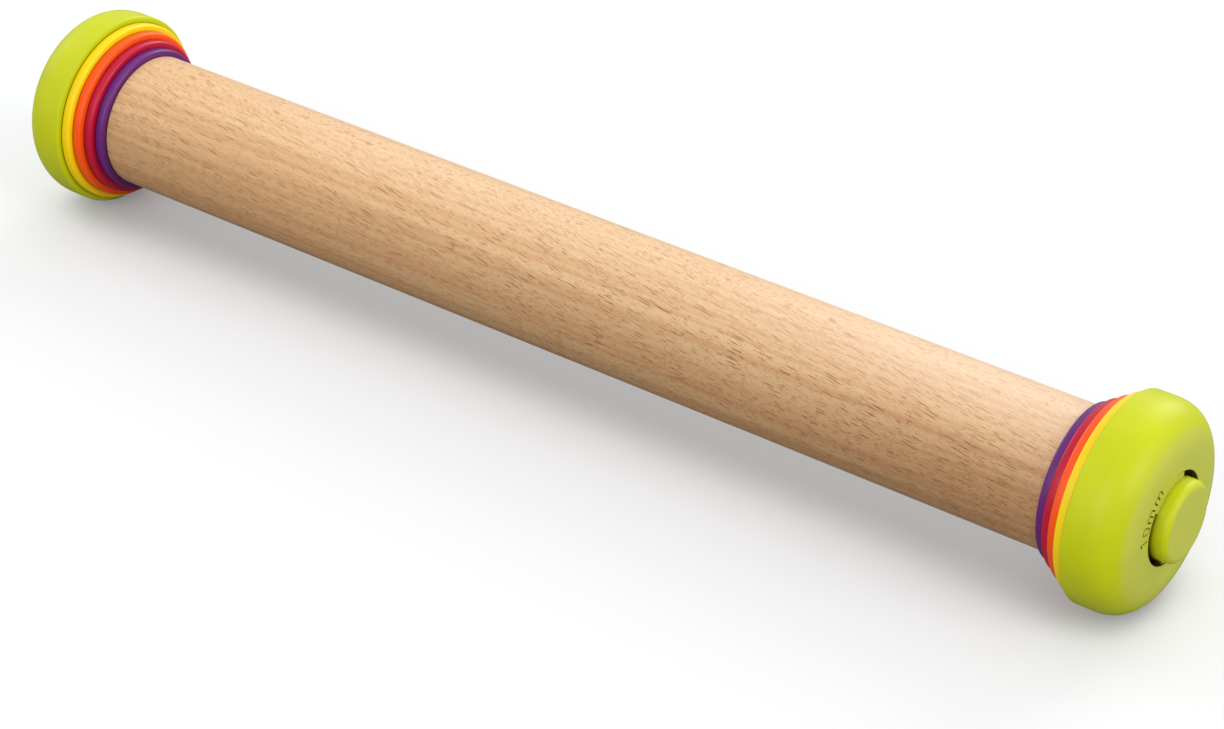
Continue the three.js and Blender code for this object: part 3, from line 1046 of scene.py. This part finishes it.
INCHES = ScaleRow(
    unit=25.4,
    step=6.35,
    long_step=25.4,
    first=50.8,
    last=171.45,
    long_last=152.4,
    short_span=(152, 162),
    long_span=(150, 178),
    foot_degrees=177,
    height=3.4,
    digit_width=2.0,
    digit_gap=0.9,
    clear=1.4,
)
CENTIMETRES = ScaleRow(
    unit=10.0,
    step=10.0,
    long_step=20.0,
    first=50.0,
    last=170.0,
    long_last=170.0,
    short_span=(138, 148),
    long_span=(134, 149),
    foot_degrees=137,
    height=2.3,
    digit_width=1.35,
    digit_gap=0.6,
    clear=1.0,
)


@dataclass
class Scale:
    """The fine scale engraved along the roller's front: centimetres above, inches below, as whole widths."""

    rows: tuple[ScaleRow, ...] = (INCHES, CENTIMETRES)
    stroke: float = 0.2
    depth: float = 0.05
    stroke_sides: int = 8
    tick_steps: int = 8
    bend_steps: int = 10

    def tools(self) -> list[Mesh]:
        """Makes the cutters of the whole scale, in the roller's frame.

        Returns:
            Four meshes, so that no two strokes of one mesh touch: the ticks, and the digits' three layers.
        """
        ticks: list[list[Point]] = []
        layers: tuple[list[list[Point]], ...] = ([], [], [])
        for row in self.rows:
            for side in (1, -1):
                for place, (top, foot) in row.marks().items():
                    steps = [top + (foot - top) * i / self.tick_steps for i in range(self.tick_steps + 1)]
                    ticks.append([(side * place, degrees) for degrees in steps])
                for place, text in row.numbers().items():
                    self._write(row, side, place, text, layers)
        return [self._cutter(paths) for paths in (ticks, *layers)]

    def _write(
        self, row: ScaleRow, side: int, mark: float, text: str, layers: Sequence[list[list[Point]]]
    ) -> None:
        """Sets one number beside its tick, on the side of the roller's middle.

        Args:
            row: the row that it stands in.
            side: 1 right of the middle, -1 left of it.
            mark: the tick's place from the middle.
            text: the number.
            layers: the lists that its strokes are added to.
        """
        width = len(text) * row.digit_width + (len(text) - 1) * row.digit_gap
        left = mark - row.clear - width if side > 0 else -mark + row.clear
        foot = row.foot_degrees
        degrees_up = math.degrees(row.height / PIN.roller_radius)
        for i, sign in enumerate(text):
            start = left + i * (row.digit_width + row.digit_gap)
            for layer, path in zip(layers, self._digit(sign)):
                layer.append([(start + x * row.digit_width, foot - y * degrees_up) for x, y in path])

    def _digit(self, sign: str) -> list[list[Point]]:
        """Draws a digit.

        Args:
            sign: the digit.

        Returns:
            Its strokes in a box one wide and one high, at most three.
        """
        bow = self._bow
        shapes = {
            "0": [bow(0.5, 0.5, 0.5, 0.5, 0, 360)],
            "1": [[(0.6, 1.0), (0.6, 0.0)], [(0.2, 0.78), (0.6, 1.0)]],
            "2": [bow(0.5, 0.72, 0.45, 0.28, 170, -40) + [(0.05, 0.0)], [(0.05, 0.0), (0.98, 0.0)]],
            "3": [bow(0.45, 0.75, 0.42, 0.25, 150, -85), bow(0.45, 0.26, 0.5, 0.26, 85, -150)],
            "4": [[(0.7, 1.0), (0.0, 0.28)], [(0.0, 0.28), (1.0, 0.28)], [(0.72, 0.85), (0.72, 0.0)]],
            "6": [bow(0.5, 0.3, 0.48, 0.3, 0, 360), bow(0.98, 0.45, 0.96, 0.55, 180, 95)],
            "8": [bow(0.5, 0.26, 0.5, 0.26, 0, 360), bow(0.5, 0.76, 0.42, 0.24, 0, 360)],
        }
        return shapes[sign]

    def _bow(self, x: float, y: float, wide: float, high: float, start: float, end: float) -> list[Point]:
        """Puts points on part of an ellipse.

        Args:
            x: its centre, across.
            y: its centre, up.
            wide: half of its width.
            high: half of its height.
            start: its first angle in degrees.
            end: its last angle.

        Returns:
            The points, first and last included.
        """
        steps = self.bend_steps
        angles = [math.radians(start + (end - start) * i / steps) for i in range(steps + 1)]
        return [(x + wide * math.cos(a), y + high * math.sin(a)) for a in angles]

    def _cutter(self, paths: Sequence[Sequence[Point]]) -> Mesh:
        """Makes fine bars along strokes on the roller's skin.

        Args:
            paths: each stroke's points, along the pin in mm and round it in degrees.

        Returns:
            All the bars as one mesh.
        """
        whole = bmesh.new()
        for path in paths:
            spots = [around(along, PIN.roller_radius, math.radians(degrees)) for along, degrees in path]
            bar = groove(spots, self._outwards, self.stroke, self.depth, self.stroke_sides)
            whole.from_mesh(bar)
        return as_mesh("scale", whole)

    def _outwards(self, spot: Vector) -> Vector:
        """The roller's normal at a point of its skin."""
        return Vector((0, spot.y, spot.z)).normalized()


@dataclass
class Roller:
    """The beech roller, turned between centres, with a stepped bore in each end and a scale along it."""

    edge: float = 0.6
    pocket_edge: float = 0.3
    last_ring_inset: float = 8.0
    pocket_radius: float = 17.12
    socket_radius: float = 7.57
    relief: float = 4.0
    scale: Scale = field(default_factory=Scale)

    def profile(self) -> list[Point]:
        """Draws half of the roller's profile, from an end's bore out to the rim, and mirrors it.

        Returns:
            The whole profile, from the left bore's bottom to the right bore's.
        """
        half = PIN.roller_length / 2
        seat = half - PIN.hub_flange - PIN.seat_gap
        floor = seat - 2 * PIN.seat_gap - PIN.insert_length
        right = [
            (floor - self.relief, 0.0),
            (floor - self.relief, PIN.stud_bore),
            (floor, PIN.stud_bore),
            (floor, self.socket_radius),
            (seat, self.socket_radius),
            (seat, self.pocket_radius),
            (half, self.pocket_radius),
            (half, PIN.roller_radius),
            (half - self.last_ring_inset, PIN.roller_radius),
        ]
        right = eased(right, {6: self.pocket_edge, 7: self.edge})
        left = [(-along, radius) for along, radius in right]
        return left + right[::-1]

    def build(self, finish: Material) -> None:
        """Makes the roller.

        Args:
            finish: the wood.
        """
        mesh = combined(turned("roller", self.profile(), closed=False), self.scale.tools(), Work.CUT)
        place = Matrix.Translation((0, 0, PIN.axis_height * MM)) @ Matrix.Scale(MM, 4)
        Piece("roller", mesh, finish, "beech", "roller").show(place)


@dataclass
class ThinDisc:
    """One of the four thin size discs, rounded on the edge that faces the roller."""

    number: int
    inner_round: float = 0.9
    outer_round: float = 0.25
    bore_round: float = 0.3
    inner_steps: int = 12
    outer_steps: int = 6

    @property
    def lift(self) -> int:
        """How far the disc lifts the roller, in whole millimetres, as its node is named."""
        return round(self.number * PIN.disc_step)

    def mesh(self) -> Mesh:
        """Makes the disc in its end's frame.

        Returns:
            The mesh.
        """
        start = PIN.seat_gap + (self.number - 1) * (PIN.thin_disc + PIN.seat_gap)
        end = start + PIN.thin_disc
        rim = PIN.disc_radius(self.number)
        bore = PIN.disc_bore
        inner, outer = self.inner_round, self.outer_round
        profile = round_corner((end, bore), (start, bore), (start, rim), self.bore_round)
        profile += arc(start + inner, rim - inner, inner, -90, 0, self.inner_steps)
        profile += arc(end - outer, rim - outer, outer, 0, 90, self.outer_steps)
        profile += round_corner((end, rim), (end, bore), (start, bore), self.bore_round)
        return turned(f"disc_{self.lift}mm", profile, closed=True)


@dataclass
class SizeMark:
    """The end disc's size, "10mm", sunk into its face as round-bottomed strokes."""

    foot_radius: float = 15.2
    middle_radius: float = 16.95
    digit_height: float = 3.46
    letter_height: float = 2.53
    first_degrees: float = 179.5
    one_width: float = 0.97
    flag_share: float = 0.78
    zero_width: float = 2.05
    hump_width: float = 1.88
    zero_across: float = 3.6
    letters_across: tuple[float, float] = (7.16, 12.8)
    stroke: float = 0.54
    depth: float = 0.46
    arch_steps: int = 10
    stroke_sides: int = 12

    def strokes(self) -> list[list[Point]]:
        """Draws the whole mark.

        Returns:
            Each stroke's points, across and up from the first sign's foot, in millimetres.
        """
        tall = self.digit_height
        wide = self.one_width
        made = [[(0.0, self.flag_share * tall), (wide, tall)], [(wide, tall), (wide, 0.0)], self._zero()]
        for left in self.letters_across:
            made.append([(left, self.letter_height), (left, 0.0)])
            made.append(self._hump(left))
            made.append(self._hump(left + self.hump_width))
        return made

    def _zero(self) -> list[Point]:
        """Draws the nought.

        Returns:
            Its points, the last one on the first.
        """
        bend = self.zero_width / 2
        middle = self.zero_across + bend
        high = self.digit_height - bend
        below = [(middle - bend * math.cos(a), bend - bend * math.sin(a)) for a in self._half_turn()]
        above = [(middle + bend * math.cos(a), high + bend * math.sin(a)) for a in self._half_turn()]
        return below + above + below[:1]

    def _hump(self, left: float) -> list[Point]:
        """Draws one arch of an m and the leg that it ends in.

        Args:
            left: where the arch begins, across the mark.

        Returns:
            Its points.
        """
        bend = self.hump_width / 2
        shoulder = self.letter_height - bend
        arch = [(left + bend - bend * math.cos(a), shoulder + bend * math.sin(a)) for a in self._half_turn()]
        return arch + [(left + self.hump_width, 0.0)]

    def _half_turn(self) -> list[float]:
        """Even angles over half a turn, in radians."""
        return [math.pi * i / self.arch_steps for i in range(self.arch_steps + 1)]

    def tools(self) -> list[Mesh]:
        """Makes the cutters of the strokes, in the end's frame.

        Returns:
            One mesh for each stroke.
        """
        made = []
        for stroke in self.strokes():
            spots = [self._bend(x, y) for x, y in stroke]
            made.append(groove(spots, self._outwards, self.stroke, self.depth, self.stroke_sides))
        return made

    def _outwards(self, spot: Vector) -> Vector:
        """The end face's normal, the same at every point."""
        return Vector((1, 0, 0))

    def _bend(self, across: float, up: float) -> Vector:
        """A point of the mark, laid on the arc about the knob, read clockwise with its tops outwards."""
        angle = math.radians(self.first_degrees) - across / self.middle_radius
        return around(PIN.end_face, self.foot_radius + up, angle)


@dataclass
class EndDisc:
    """The thick lime end disc: a cored moulding with a squarish round corner and the knob's hole."""

    rim_width: float = 6.4
    face_radius: float = 18.5
    corner_power: float = 0.9
    corner_steps: int = 40
    inner_round: float = 0.9
    inner_steps: int = 12
    hole_round: float = 0.35
    bore_round: float = 0.2
    core_wall: float = 3.0
    core_rim_wall: float = 3.4
    core_face_wall: float = 6.2
    core_edge: float = 0.3
    core_round: float = 0.8
    rib: float = 1.8
    rib_setback: float = 0.6
    rib_sink: float = 0.5
    ribs: int = 8
    sides: int = 256
    mark: SizeMark = field(default_factory=SizeMark)

    def corner(self) -> list[Point]:
        """Draws the full corner from the rim to the flat face, a squarish quarter of an ellipse.

        Returns:
            The points, from the rim's side to the face's.
        """
        depth = PIN.end_disc - self.rim_width
        width = PIN.axis_height - self.face_radius
        start = PIN.end_disc_start + self.rim_width
        points = []
        for i in range(self.corner_steps):
            angle = math.pi / 2 * i / self.corner_steps
            sink = math.sin(angle) ** self.corner_power
            rise = math.cos(angle) ** self.corner_power
            points.append((start + depth * sink, self.face_radius + width * rise))
        return points + [(PIN.end_face, self.face_radius)]

    def mesh(self) -> Mesh:
        """Makes the disc in its end's frame, with its ribs and its size mark.

        Returns:
            The mesh.
        """
        start = PIN.end_disc_start
        floor = PIN.hole_floor
        inside = PIN.hole_radius + self.core_wall
        outside = PIN.axis_height - self.core_rim_wall
        deep = PIN.end_face - self.core_face_wall
        rim = PIN.axis_height
        edge, bore, core = self.core_edge, self.bore_round, self.core_round
        corners = [
            (start, inside),
            (start, PIN.disc_bore),
            (floor, PIN.disc_bore),
            (floor, PIN.hole_radius),
            (PIN.end_face, PIN.hole_radius),
            (PIN.end_face, self.face_radius),
        ]
        profile = round_corner((deep, inside), corners[0], corners[1], edge)
        profile += eased(corners, {1: edge, 2: bore, 3: bore, 4: self.hole_round})[1:-1]
        profile += self.corner()[::-1]
        bend = self.inner_round
        profile += arc(start + bend, rim - bend, bend, 0, -90, self.inner_steps)
        profile += round_corner((start, rim), (start, outside), (deep, outside), edge)
        profile += round_corner((start, outside), (deep, outside), (deep, inside), core)
        profile += round_corner((deep, outside), (deep, inside), (start, inside), core)
        body = turned("disc_10mm", profile, closed=True, sides=self.sides)
        body = combined(body, self._rib_meshes(inside, outside, deep), Work.JOIN)
        return combined(body, self.mark.tools(), Work.CUT)

    def _rib_meshes(self, inside: float, outside: float, deep: float) -> list[Mesh]:
        """Makes the radial ribs of the core, sunk into the walls that they join.

        Args:
            inside: the core's inner radius.
            outside: its outer radius.
            deep: its floor.

        Returns:
            One mesh for each rib.
        """
        low = PIN.end_disc_start + self.rib_setback
        size = (deep - low + self.rib_sink, self.rib, outside - inside + 2 * self.rib_sink)
        middle = Matrix.Translation((low + size[0] / 2, 0, (inside + outside) / 2))
        scale = Matrix.Diagonal((*size, 1))
        return [block("rib", Matrix.Rotation(a, 4, "X") @ middle @ scale) for a in full_turn(self.ribs)]


@dataclass
class Knob:
    """The screw knob: a round button with a flat-topped skirt that reaches the hole on two opposite arcs."""

    proud: float = 4.5
    edge_round: float = 2.05
    edge_steps: int = 16
    flat_ring_share: float = 0.5
    skirt_gap: float = 0.3
    crescent: float = 1.55
    skirt_setback: float = 0.3
    skirt_slope: float = 0.06
    skirt_fillet: float = 0.12
    skirt_start: float = 72.0
    skirt_end: float = 145.0
    skirt_steps: int = 6
    side_softness: float = 0.8
    base_round: float = 0.3
    pocket_gap: float = 0.05
    sides: int = 240

    @property
    def body_radius(self) -> float:
        """The radius of the round button."""
        return PIN.hole_radius - self.skirt_gap - self.crescent

    @property
    def skirt_edge(self) -> float:
        """The place of the skirt's flat top along the pin."""
        return PIN.end_face - self.skirt_setback

    def skirt_share(self, degrees: float) -> float:
        """Finds how much of the skirt stands at an angle.

        Args:
            degrees: the angle from +Y towards +Z.

        Returns:
            1 on the skirt's arcs, 0 between them, passing from one to the other over the side faces.
        """
        half = (self.skirt_end - self.skirt_start) / 2
        middle = self.skirt_start + half
        off = abs((degrees - middle + 90) % 180 - 90)
        return min(max((half + self.side_softness / 2 - off) / self.side_softness, 0.0), 1.0)

    def skirt_top(self) -> list[Point]:
        """Draws the skirt's flat top and the fillet that joins it to the button.

        Returns:
            Places along the pin, with how far the skirt stands out from the button there.
        """
        flat_end = self.skirt_edge + self.skirt_slope
        bend = self.skirt_fillet
        angles = [math.pi / 2 * i / self.skirt_steps for i in range(self.skirt_steps + 1)]
        fillet = [(flat_end + bend * (1 - math.cos(a)), bend * (1 - math.sin(a))) for a in angles]
        return [(self.skirt_edge, self.crescent)] + fillet

    def turns(self) -> list[float]:
        """Sets out angles round the knob, closer together where the skirt begins and ends.

        Returns:
            The angles in degrees, rising.
        """
        angles = {round(360 * i / self.sides, 3) for i in range(self.sides)}
        for edge in (self.skirt_start, self.skirt_end):
            for half_turn in (0, 180):
                for i in (-1, 0, 1):
                    angles.add(round((edge + half_turn + self.side_softness * i / 2) % 360, 3))
        return sorted(angles)

    def mesh(self) -> Mesh:
        """Makes the knob in its end's frame.

        Returns:
            The mesh.
        """
        base = PIN.knob_base
        top = PIN.end_face + self.proud
        radius = self.body_radius
        gap = self.pocket_gap
        neck = PIN.stud_radius + gap
        head = PIN.stud_head_radius + gap
        low = base + PIN.stud_head_span[0] - gap
        high = base + PIN.stud_head_span[1] + gap
        pocket = [(high, 0.0), (high, head), (low, head), (low, neck)]
        pocket += round_corner((low, neck), (base, neck), (base, radius), self.base_round)
        bend = self.base_round
        foot = arc(base + bend, radius - bend, bend, -90, 0, self.skirt_steps)
        rise = (self.skirt_edge - base) / self.skirt_steps
        wall = [(base + rise * i, radius) for i in range(1, self.skirt_steps)]
        bend = self.edge_round
        crown = arc(top - bend, radius - bend, bend, 0, 90, self.edge_steps)
        crown += [(top, radius * self.flat_ring_share), (top, 0.0)]
        rows = [self._ring(along, out, 0.0) for along, out in pocket]
        rows += [self._ring(along, out, self.crescent) for along, out in foot + wall]
        rows += [self._ring(along, radius, flare) for along, flare in self.skirt_top()]
        rows += [self._ring(along, out, 0.0) for along, out in crown]
        return skin("knob", rows, closed=False)

    def _ring(self, along: float, out: float, flare: float) -> list[Vector]:
        """Makes one row of the knob's skin.

        Args:
            along: its place along the pin.
            out: the button's radius there.
            flare: how far the skirt stands out from it.

        Returns:
            The row's points, or the one on the axis.
        """
        turns = self.turns() if out else [0.0]
        return [around(along, out + self.skirt_share(turn) * flare, math.radians(turn)) for turn in turns]


@dataclass
class Thread:
    """A right-hand metric thread: its flanks climb three thread heights in a pitch, with flats between."""

    pitch: float = 1.5
    flank: float = 3.0
    rise: float = 1.25
    steps_per_turn: int = 12
    sides: int = 72

    def rows(
        self, start: float, end: float, crest: float, root: float, chamfer: float
    ) -> list[list[Vector]]:
        """Makes the rows of a threaded length.

        Args:
            start: where it begins along the pin.
            end: where it ends.
            crest: the radius of the thread's outer edge.
            root: the radius of its bottom.
            chamfer: how far from each end the thread fades out.

        Returns:
            Loops of points round the axis.
        """
        count = round((end - start) / self.pitch * self.steps_per_turn)
        made = []
        for i in range(count + 1):
            along = start + (end - start) * i / count
            fade = max(min(1.0, (along - start) / chamfer, (end - along) / chamfer), 0.0)
            row = []
            for angle in full_turn(self.sides):
                phase = (along / self.pitch - angle / (2 * math.pi)) % 1.0
                height = min(max(self.rise - self.flank * abs(phase - 0.5), 0.0), 1.0)
                row.append(around(along, root + (crest - root) * height * fade, angle))
            made.append(row)
        return made


@dataclass
class Fixings:
    """What is hidden in each end: the hub, its screws, the insert, the stud and the washer."""

    boss_radius: float = 9.0
    boss_setback: float = 1.0
    boss_round: float = 0.8
    flange_radius: float = 17.0
    hub_round: float = 0.3
    screw_head: float = 2.8
    screw_shank: float = 1.4
    screw_length: float = 15.0
    screw_point: float = 2.5
    screw_sink: float = 0.15
    screw_gap: float = 0.1
    screw_sides: int = 48
    hole_overrun: float = 1.0
    hole_sides: int = 32
    recess: Size = (2.4, 0.62, 3.0)
    screws: int = 3
    insert_radius: float = 7.52
    insert_thread: float = 0.6
    insert_grooves: int = 16
    insert_groove: float = 0.25
    stud_thread: float = 0.75
    stud_thread_end: float = 8.0
    stud_thread_fade: float = 1.2
    stud_neck: float = 0.4
    washer_radius: float = 12.9
    washer_round: float = 0.15
    thread: Thread = field(default_factory=Thread)

    def screw_places(self) -> list[Vector]:
        """Where the screws stand round the hub, in the end's frame."""
        circle = (self.boss_radius + self.flange_radius) / 2
        return [around(0.0, circle, math.pi / 2 + turn) for turn in full_turn(self.screws)]

    def _screw_profile(self, gap: float, top: float) -> list[Point]:
        """Draws a countersunk screw's profile.

        Args:
            gap: how much it is grown, for its hole.
            top: where it ends.

        Returns:
            The profile, from the tip.
        """
        sink = -self.screw_sink
        cone = sink - (self.screw_head - self.screw_shank)
        tip = sink - self.screw_length - gap
        shank = self.screw_shank + gap
        head = self.screw_head + gap
        flanks = [(tip + self.screw_point, shank), (cone - gap, shank), (sink - gap, head)]
        return [(tip, 0.0), *flanks, (top, head), (top, 0.0)]

    def hub(self) -> Mesh:
        """Makes the moulded hub: a flange let into the roller, and the boss that the discs centre on.

        Returns:
            The mesh.
        """
        low = -PIN.hub_flange
        boss_end = PIN.hole_floor - self.boss_setback
        corners = [
            (low, PIN.stud_bore),
            (boss_end, PIN.stud_bore),
            (boss_end, self.boss_radius),
            (0.0, self.boss_radius),
            (0.0, self.flange_radius),
            (low, self.flange_radius),
        ]
        small = self.hub_round
        body = turned("hub", eased(corners, {1: small, 2: self.boss_round, 3: small, 4: small}), closed=True)
        profile = self._screw_profile(self.screw_gap, self.hole_overrun)
        holes = []
        for spot in self.screw_places():
            hole = turned("hole", profile, closed=False, sides=self.hole_sides)
            hole.transform(Matrix.Translation(spot))
            holes.append(hole)
        return combined(body, holes, Work.CUT)

    def screw(self) -> Mesh:
        """Makes one wood screw, with a cross recess in its head.

        Returns:
            The mesh, on its own axis.
        """
        profile = self._screw_profile(0.0, -self.screw_sink)
        body = turned("screw", profile, closed=False, sides=self.screw_sides)
        scale = Matrix.Diagonal((*self.recess, 1))
        bars = [block("bar", Matrix.Rotation(turn, 4, "X") @ scale) for turn in (0.0, math.pi / 2)]
        return combined(body, bars, Work.CUT)

    def insert(self) -> Mesh:
        """Makes the brass insert, threaded inside and grooved outside, its thread clear of the stud's.

        Returns:
            The mesh.
        """
        end = PIN.insert_face
        start = end - PIN.insert_length
        bore = PIN.stud_bore
        rows = self.thread.rows(start, end, bore + self.insert_thread, bore, self.insert_thread)
        turns = full_turn(self.thread.sides)
        for i in range(self.insert_grooves + 1):
            radius = self.insert_radius - (self.insert_groove if i % 2 else 0.0)
            rows.append(loop(end - PIN.insert_length * i / self.insert_grooves, radius, turns))
        return skin("threaded_insert", rows, closed=True)

    def stud(self) -> Mesh:
        """Makes the steel stud, threaded to the hub's mouth, with its head in the knob.

        Returns:
            The mesh.
        """
        tip = PIN.insert_face - PIN.engagement
        crest = PIN.stud_radius
        root = crest - self.stud_thread
        turns = full_turn(self.thread.sides)
        low, high = (PIN.knob_base + place for place in PIN.stud_head_span)
        head = PIN.stud_head_radius
        rows = [loop(tip, 0.0, turns)]
        rows += self.thread.rows(tip, self.stud_thread_end, crest, root, self.stud_thread_fade)
        shank = [(self.stud_thread_end + self.stud_neck, crest), (low, crest), (low, head), (high, head)]
        rows += [loop(along, radius, turns) for along, radius in shank + [(high, 0.0)]]
        return skin("stud", rows, closed=False)

    def washer(self) -> Mesh:
        """Makes the rubber washer under the knob.

        Returns:
            The mesh.
        """
        low = PIN.hole_floor + PIN.seat_gap
        high = low + PIN.washer
        inner, outer = PIN.stud_bore, self.washer_radius
        corners = [(low, inner), (high, inner), (high, outer), (low, outer)]
        return turned("washer", eased(corners, dict.fromkeys(range(4), self.washer_round)), closed=True)


class Finishes:
    """Every finish of the pin, each made once."""

    def __init__(self) -> None:
        """Builds the materials."""
        self.beech = SandedBeech().build()
        # Each plastic's second colour is its painted reflection on faces that look outwards along the pin.
        self.lime = MouldedPlastic("lime_abs", "#c6ce06", "#c6cb4b", roughness=0.4, specular=0.3).build()
        self.grey = MouldedPlastic("grey_nylon", "#4a4c50", "#53555a", roughness=0.5).build()
        self.thin = [
            MouldedPlastic("violet_abs", "#662175", "#6c2c7c").build(),
            MouldedPlastic("crimson_abs", "#bf0733", "#c31238").build(),
            MouldedPlastic("orange_abs", "#ff5704", "#ff5f14").build(),
            MouldedPlastic("yellow_abs", "#ffd903", "#ffd91c").build(),
        ]
        self.brass = TurnedMetal("turned_brass", "#d6b067").build()
        self.steel = TurnedMetal("zinc_plated_steel", "#c3c7cc").build()
        self.rubber = NitrileRubber().build()


@dataclass
class EndSet:
    """Everything that both ends carry, made once and set out twice."""

    finishes: Finishes
    slots: tuple[str, ...] = ("violet_plastic", "crimson_plastic", "orange_plastic", "yellow_plastic")

    def build(self) -> None:
        """Makes the meshes and places them at both ends."""
        steel = self.finishes.steel
        fixings = Fixings()
        discs = [ThinDisc(i + 1) for i in range(PIN.thin_discs)]
        thin = [disc.mesh() for disc in discs]
        shared = {
            "disc_10mm": (EndDisc().mesh(), self.finishes.lime, "lime_plastic", "disc_10mm"),
            "knob": (Knob().mesh(), self.finishes.lime, "lime_plastic", "knob"),
            "washer": (fixings.washer(), self.finishes.rubber, "rubber", "washer"),
            "stud": (fixings.stud(), steel, "steel", "knob"),
            "hub": (fixings.hub(), self.finishes.grey, "hub_plastic", "roller"),
            "threaded_insert": (fixings.insert(), self.finishes.brass, "brass", "roller"),
        }
        screw = fixings.screw()
        for end in End:
            place = end.place()
            for name, (mesh, finish, slot, body) in shared.items():
                rides = body if body == "roller" else f"{body}_{end.label}"
                Piece(f"{name}_{end.label}", mesh, finish, slot, rides).show(place)
            for disc, mesh, finish, slot in zip(discs, thin, self.finishes.thin, self.slots):
                node = f"disc_{disc.lift}mm_{end.label}"
                Piece(node, mesh, finish, slot, node).show(place)
            for i, spot in enumerate(fixings.screw_places()):
                piece = Piece(f"hub_screw_{i + 1}_{end.label}", screw, steel, "steel", "roller")
                piece.show(place @ Matrix.Translation(spot))


@dataclass(frozen=True)
class Softbox:
    """A wide soft lamp, far off: how far from overhead, turned round from +X towards +Y, and how strong."""

    tilt_degrees: float
    turn_degrees: float
    strength: float
    spread_degrees: float = 36.0

    def hang(self, name: str) -> None:
        """Adds the lamp to the scene.

        Args:
            name: the lamp's name.
        """
        data = bpy.data.lights.new(name, "SUN")
        data.energy = self.strength
        data.angle = math.radians(self.spread_degrees)
        lamp = bpy.data.objects.new(name, data)
        lamp.rotation_euler = (0.0, math.radians(self.tilt_degrees), math.radians(self.turn_degrees))
        bpy.context.scene.collection.objects.link(lamp)


@dataclass
class Studio:
    """The camera, a pale sheet to stand on, and soft plain light from all round."""

    camera_mm: Size = (529.9, -697.8, 570.1)
    yaw_degrees: float = -36.4938
    pitch_degrees: float = -32.9098
    lens_mm: float = 99.563
    sensor_mm: float = 36.0
    floor_m: float = 8.0
    floor_cells: int = 4
    sheet: str = "#8c8c8c"
    softboxes: tuple[Softbox, ...] = (
        Softbox(62.0, 0.0, 1.0),
        Softbox(62.0, 90.0, 0.95),
        Softbox(62.0, 180.0, 0.31),
        Softbox(54.0, 172.0, 0.12, 14.0),
        Softbox(62.0, 270.0, 0.66),
        Softbox(32.0, 120.0, 0.13),
    )
    white: Colour = (1.0, 1.0, 1.0, 1.0)
    ambient: float = 0.774
    glow: float = 0.238
    shade: Colour = (0.638, 0.646, 0.656, 1.0)
    # Painted shadow: ambient occlusion darkens the sheet that the camera sees close to the pin.
    contact_share: float = 0.26
    contact_span: tuple[float, float] = (0.57, 0.34)
    contact_reach_m: float = 0.3
    contact_samples: int = 16

    def build(self) -> None:
        """Makes the studio."""
        self._camera()
        self._floor()
        for i, softbox in enumerate(self.softboxes):
            softbox.hang(f"softbox_{i + 1}")
        self._surround()

    def _camera(self) -> None:
        """Sets the camera at the photograph's viewing angle."""
        data = bpy.data.cameras.new("camera")
        data.lens = self.lens_mm
        data.sensor_width = self.sensor_mm
        camera = bpy.data.objects.new("camera", data)
        bpy.context.scene.collection.objects.link(camera)
        camera.location = Vector(self.camera_mm) * MM
        camera.rotation_euler = (math.radians(90 + self.pitch_degrees), 0, math.radians(-self.yaw_degrees))
        bpy.context.scene.camera = camera

    def _floor(self) -> None:
        """Lays a pale sheet that shows white and keeps the pin's shadow."""
        sheet = bmesh.new()
        cells = self.floor_cells
        bmesh.ops.create_grid(sheet, x_segments=cells, y_segments=cells, size=self.floor_m / 2)
        mesh = as_mesh("sheet", sheet)
        mesh.materials.append(self._sheet_material())
        as_object("sheet", mesh)

    def _sheet_material(self) -> Material:
        """Makes pale paper, lifted to white where the camera sees it, with a painted contact shadow near the
        pin.

        Returns:
            The material.
        """
        material, tree = new_material("pale_paper")
        seen_ray = add_node(tree, "LightPath", {}).outputs["Is Camera Ray"]
        paper = add_node(tree, "BsdfDiffuse", {"Color": linear(self.sheet)})
        shade = add_node(tree, "BsdfDiffuse", {"Color": self.shade})
        glow = add_node(tree, "Emission", {"Color": self.white, "Strength": self.glow})
        lifted = add_node(tree, "AddShader", {0: shade, 1: glow})
        # Painted contact shadow: ambient occlusion fades the lifted sheet towards black near the pin.
        reach = {"Distance": self.contact_reach_m}
        closed = add_node(tree, "AmbientOcclusion", reach, samples=self.contact_samples)
        low, high = self.contact_span
        span = {0: closed.outputs["AO"], 1: low, 2: high, 4: self.contact_share}
        seen = add_node(tree, "MixShader", {0: add_node(tree, "MapRange", span), 1: lifted})
        mixed = add_node(tree, "MixShader", {0: seen_ray, 1: paper, 2: seen})
        add_node(tree, "OutputMaterial", {"Surface": mixed})
        return material

    def _surround(self) -> None:
        """Sets plain pale walls all round, white where the camera sees them."""
        world = bpy.data.worlds.new("studio")
        world.use_nodes = True
        tree = world.node_tree
        tree.nodes.clear()
        seen_ray = add_node(tree, "LightPath", {}).outputs["Is Camera Ray"]
        walls = add_node(tree, "Background", {"Color": self.white, "Strength": self.ambient})
        seen = add_node(tree, "Background", {"Color": self.white, "Strength": 1.0})
        mixed = add_node(tree, "MixShader", {0: seen_ray, 1: walls, 2: seen})
        add_node(tree, "OutputWorld", {"Surface": mixed})
        bpy.context.scene.world = world


def main() -> None:
    """Builds the studio, the roller and both ends."""
    logging.basicConfig(level=logging.INFO, format="%(name)s: %(message)s")
    bpy.context.scene.view_settings.view_transform = "Standard"
    Studio().build()
    finishes = Finishes()
    Roller().build(finishes.beech)
    EndSet(finishes).build()


if __name__ == "__main__":
    main()
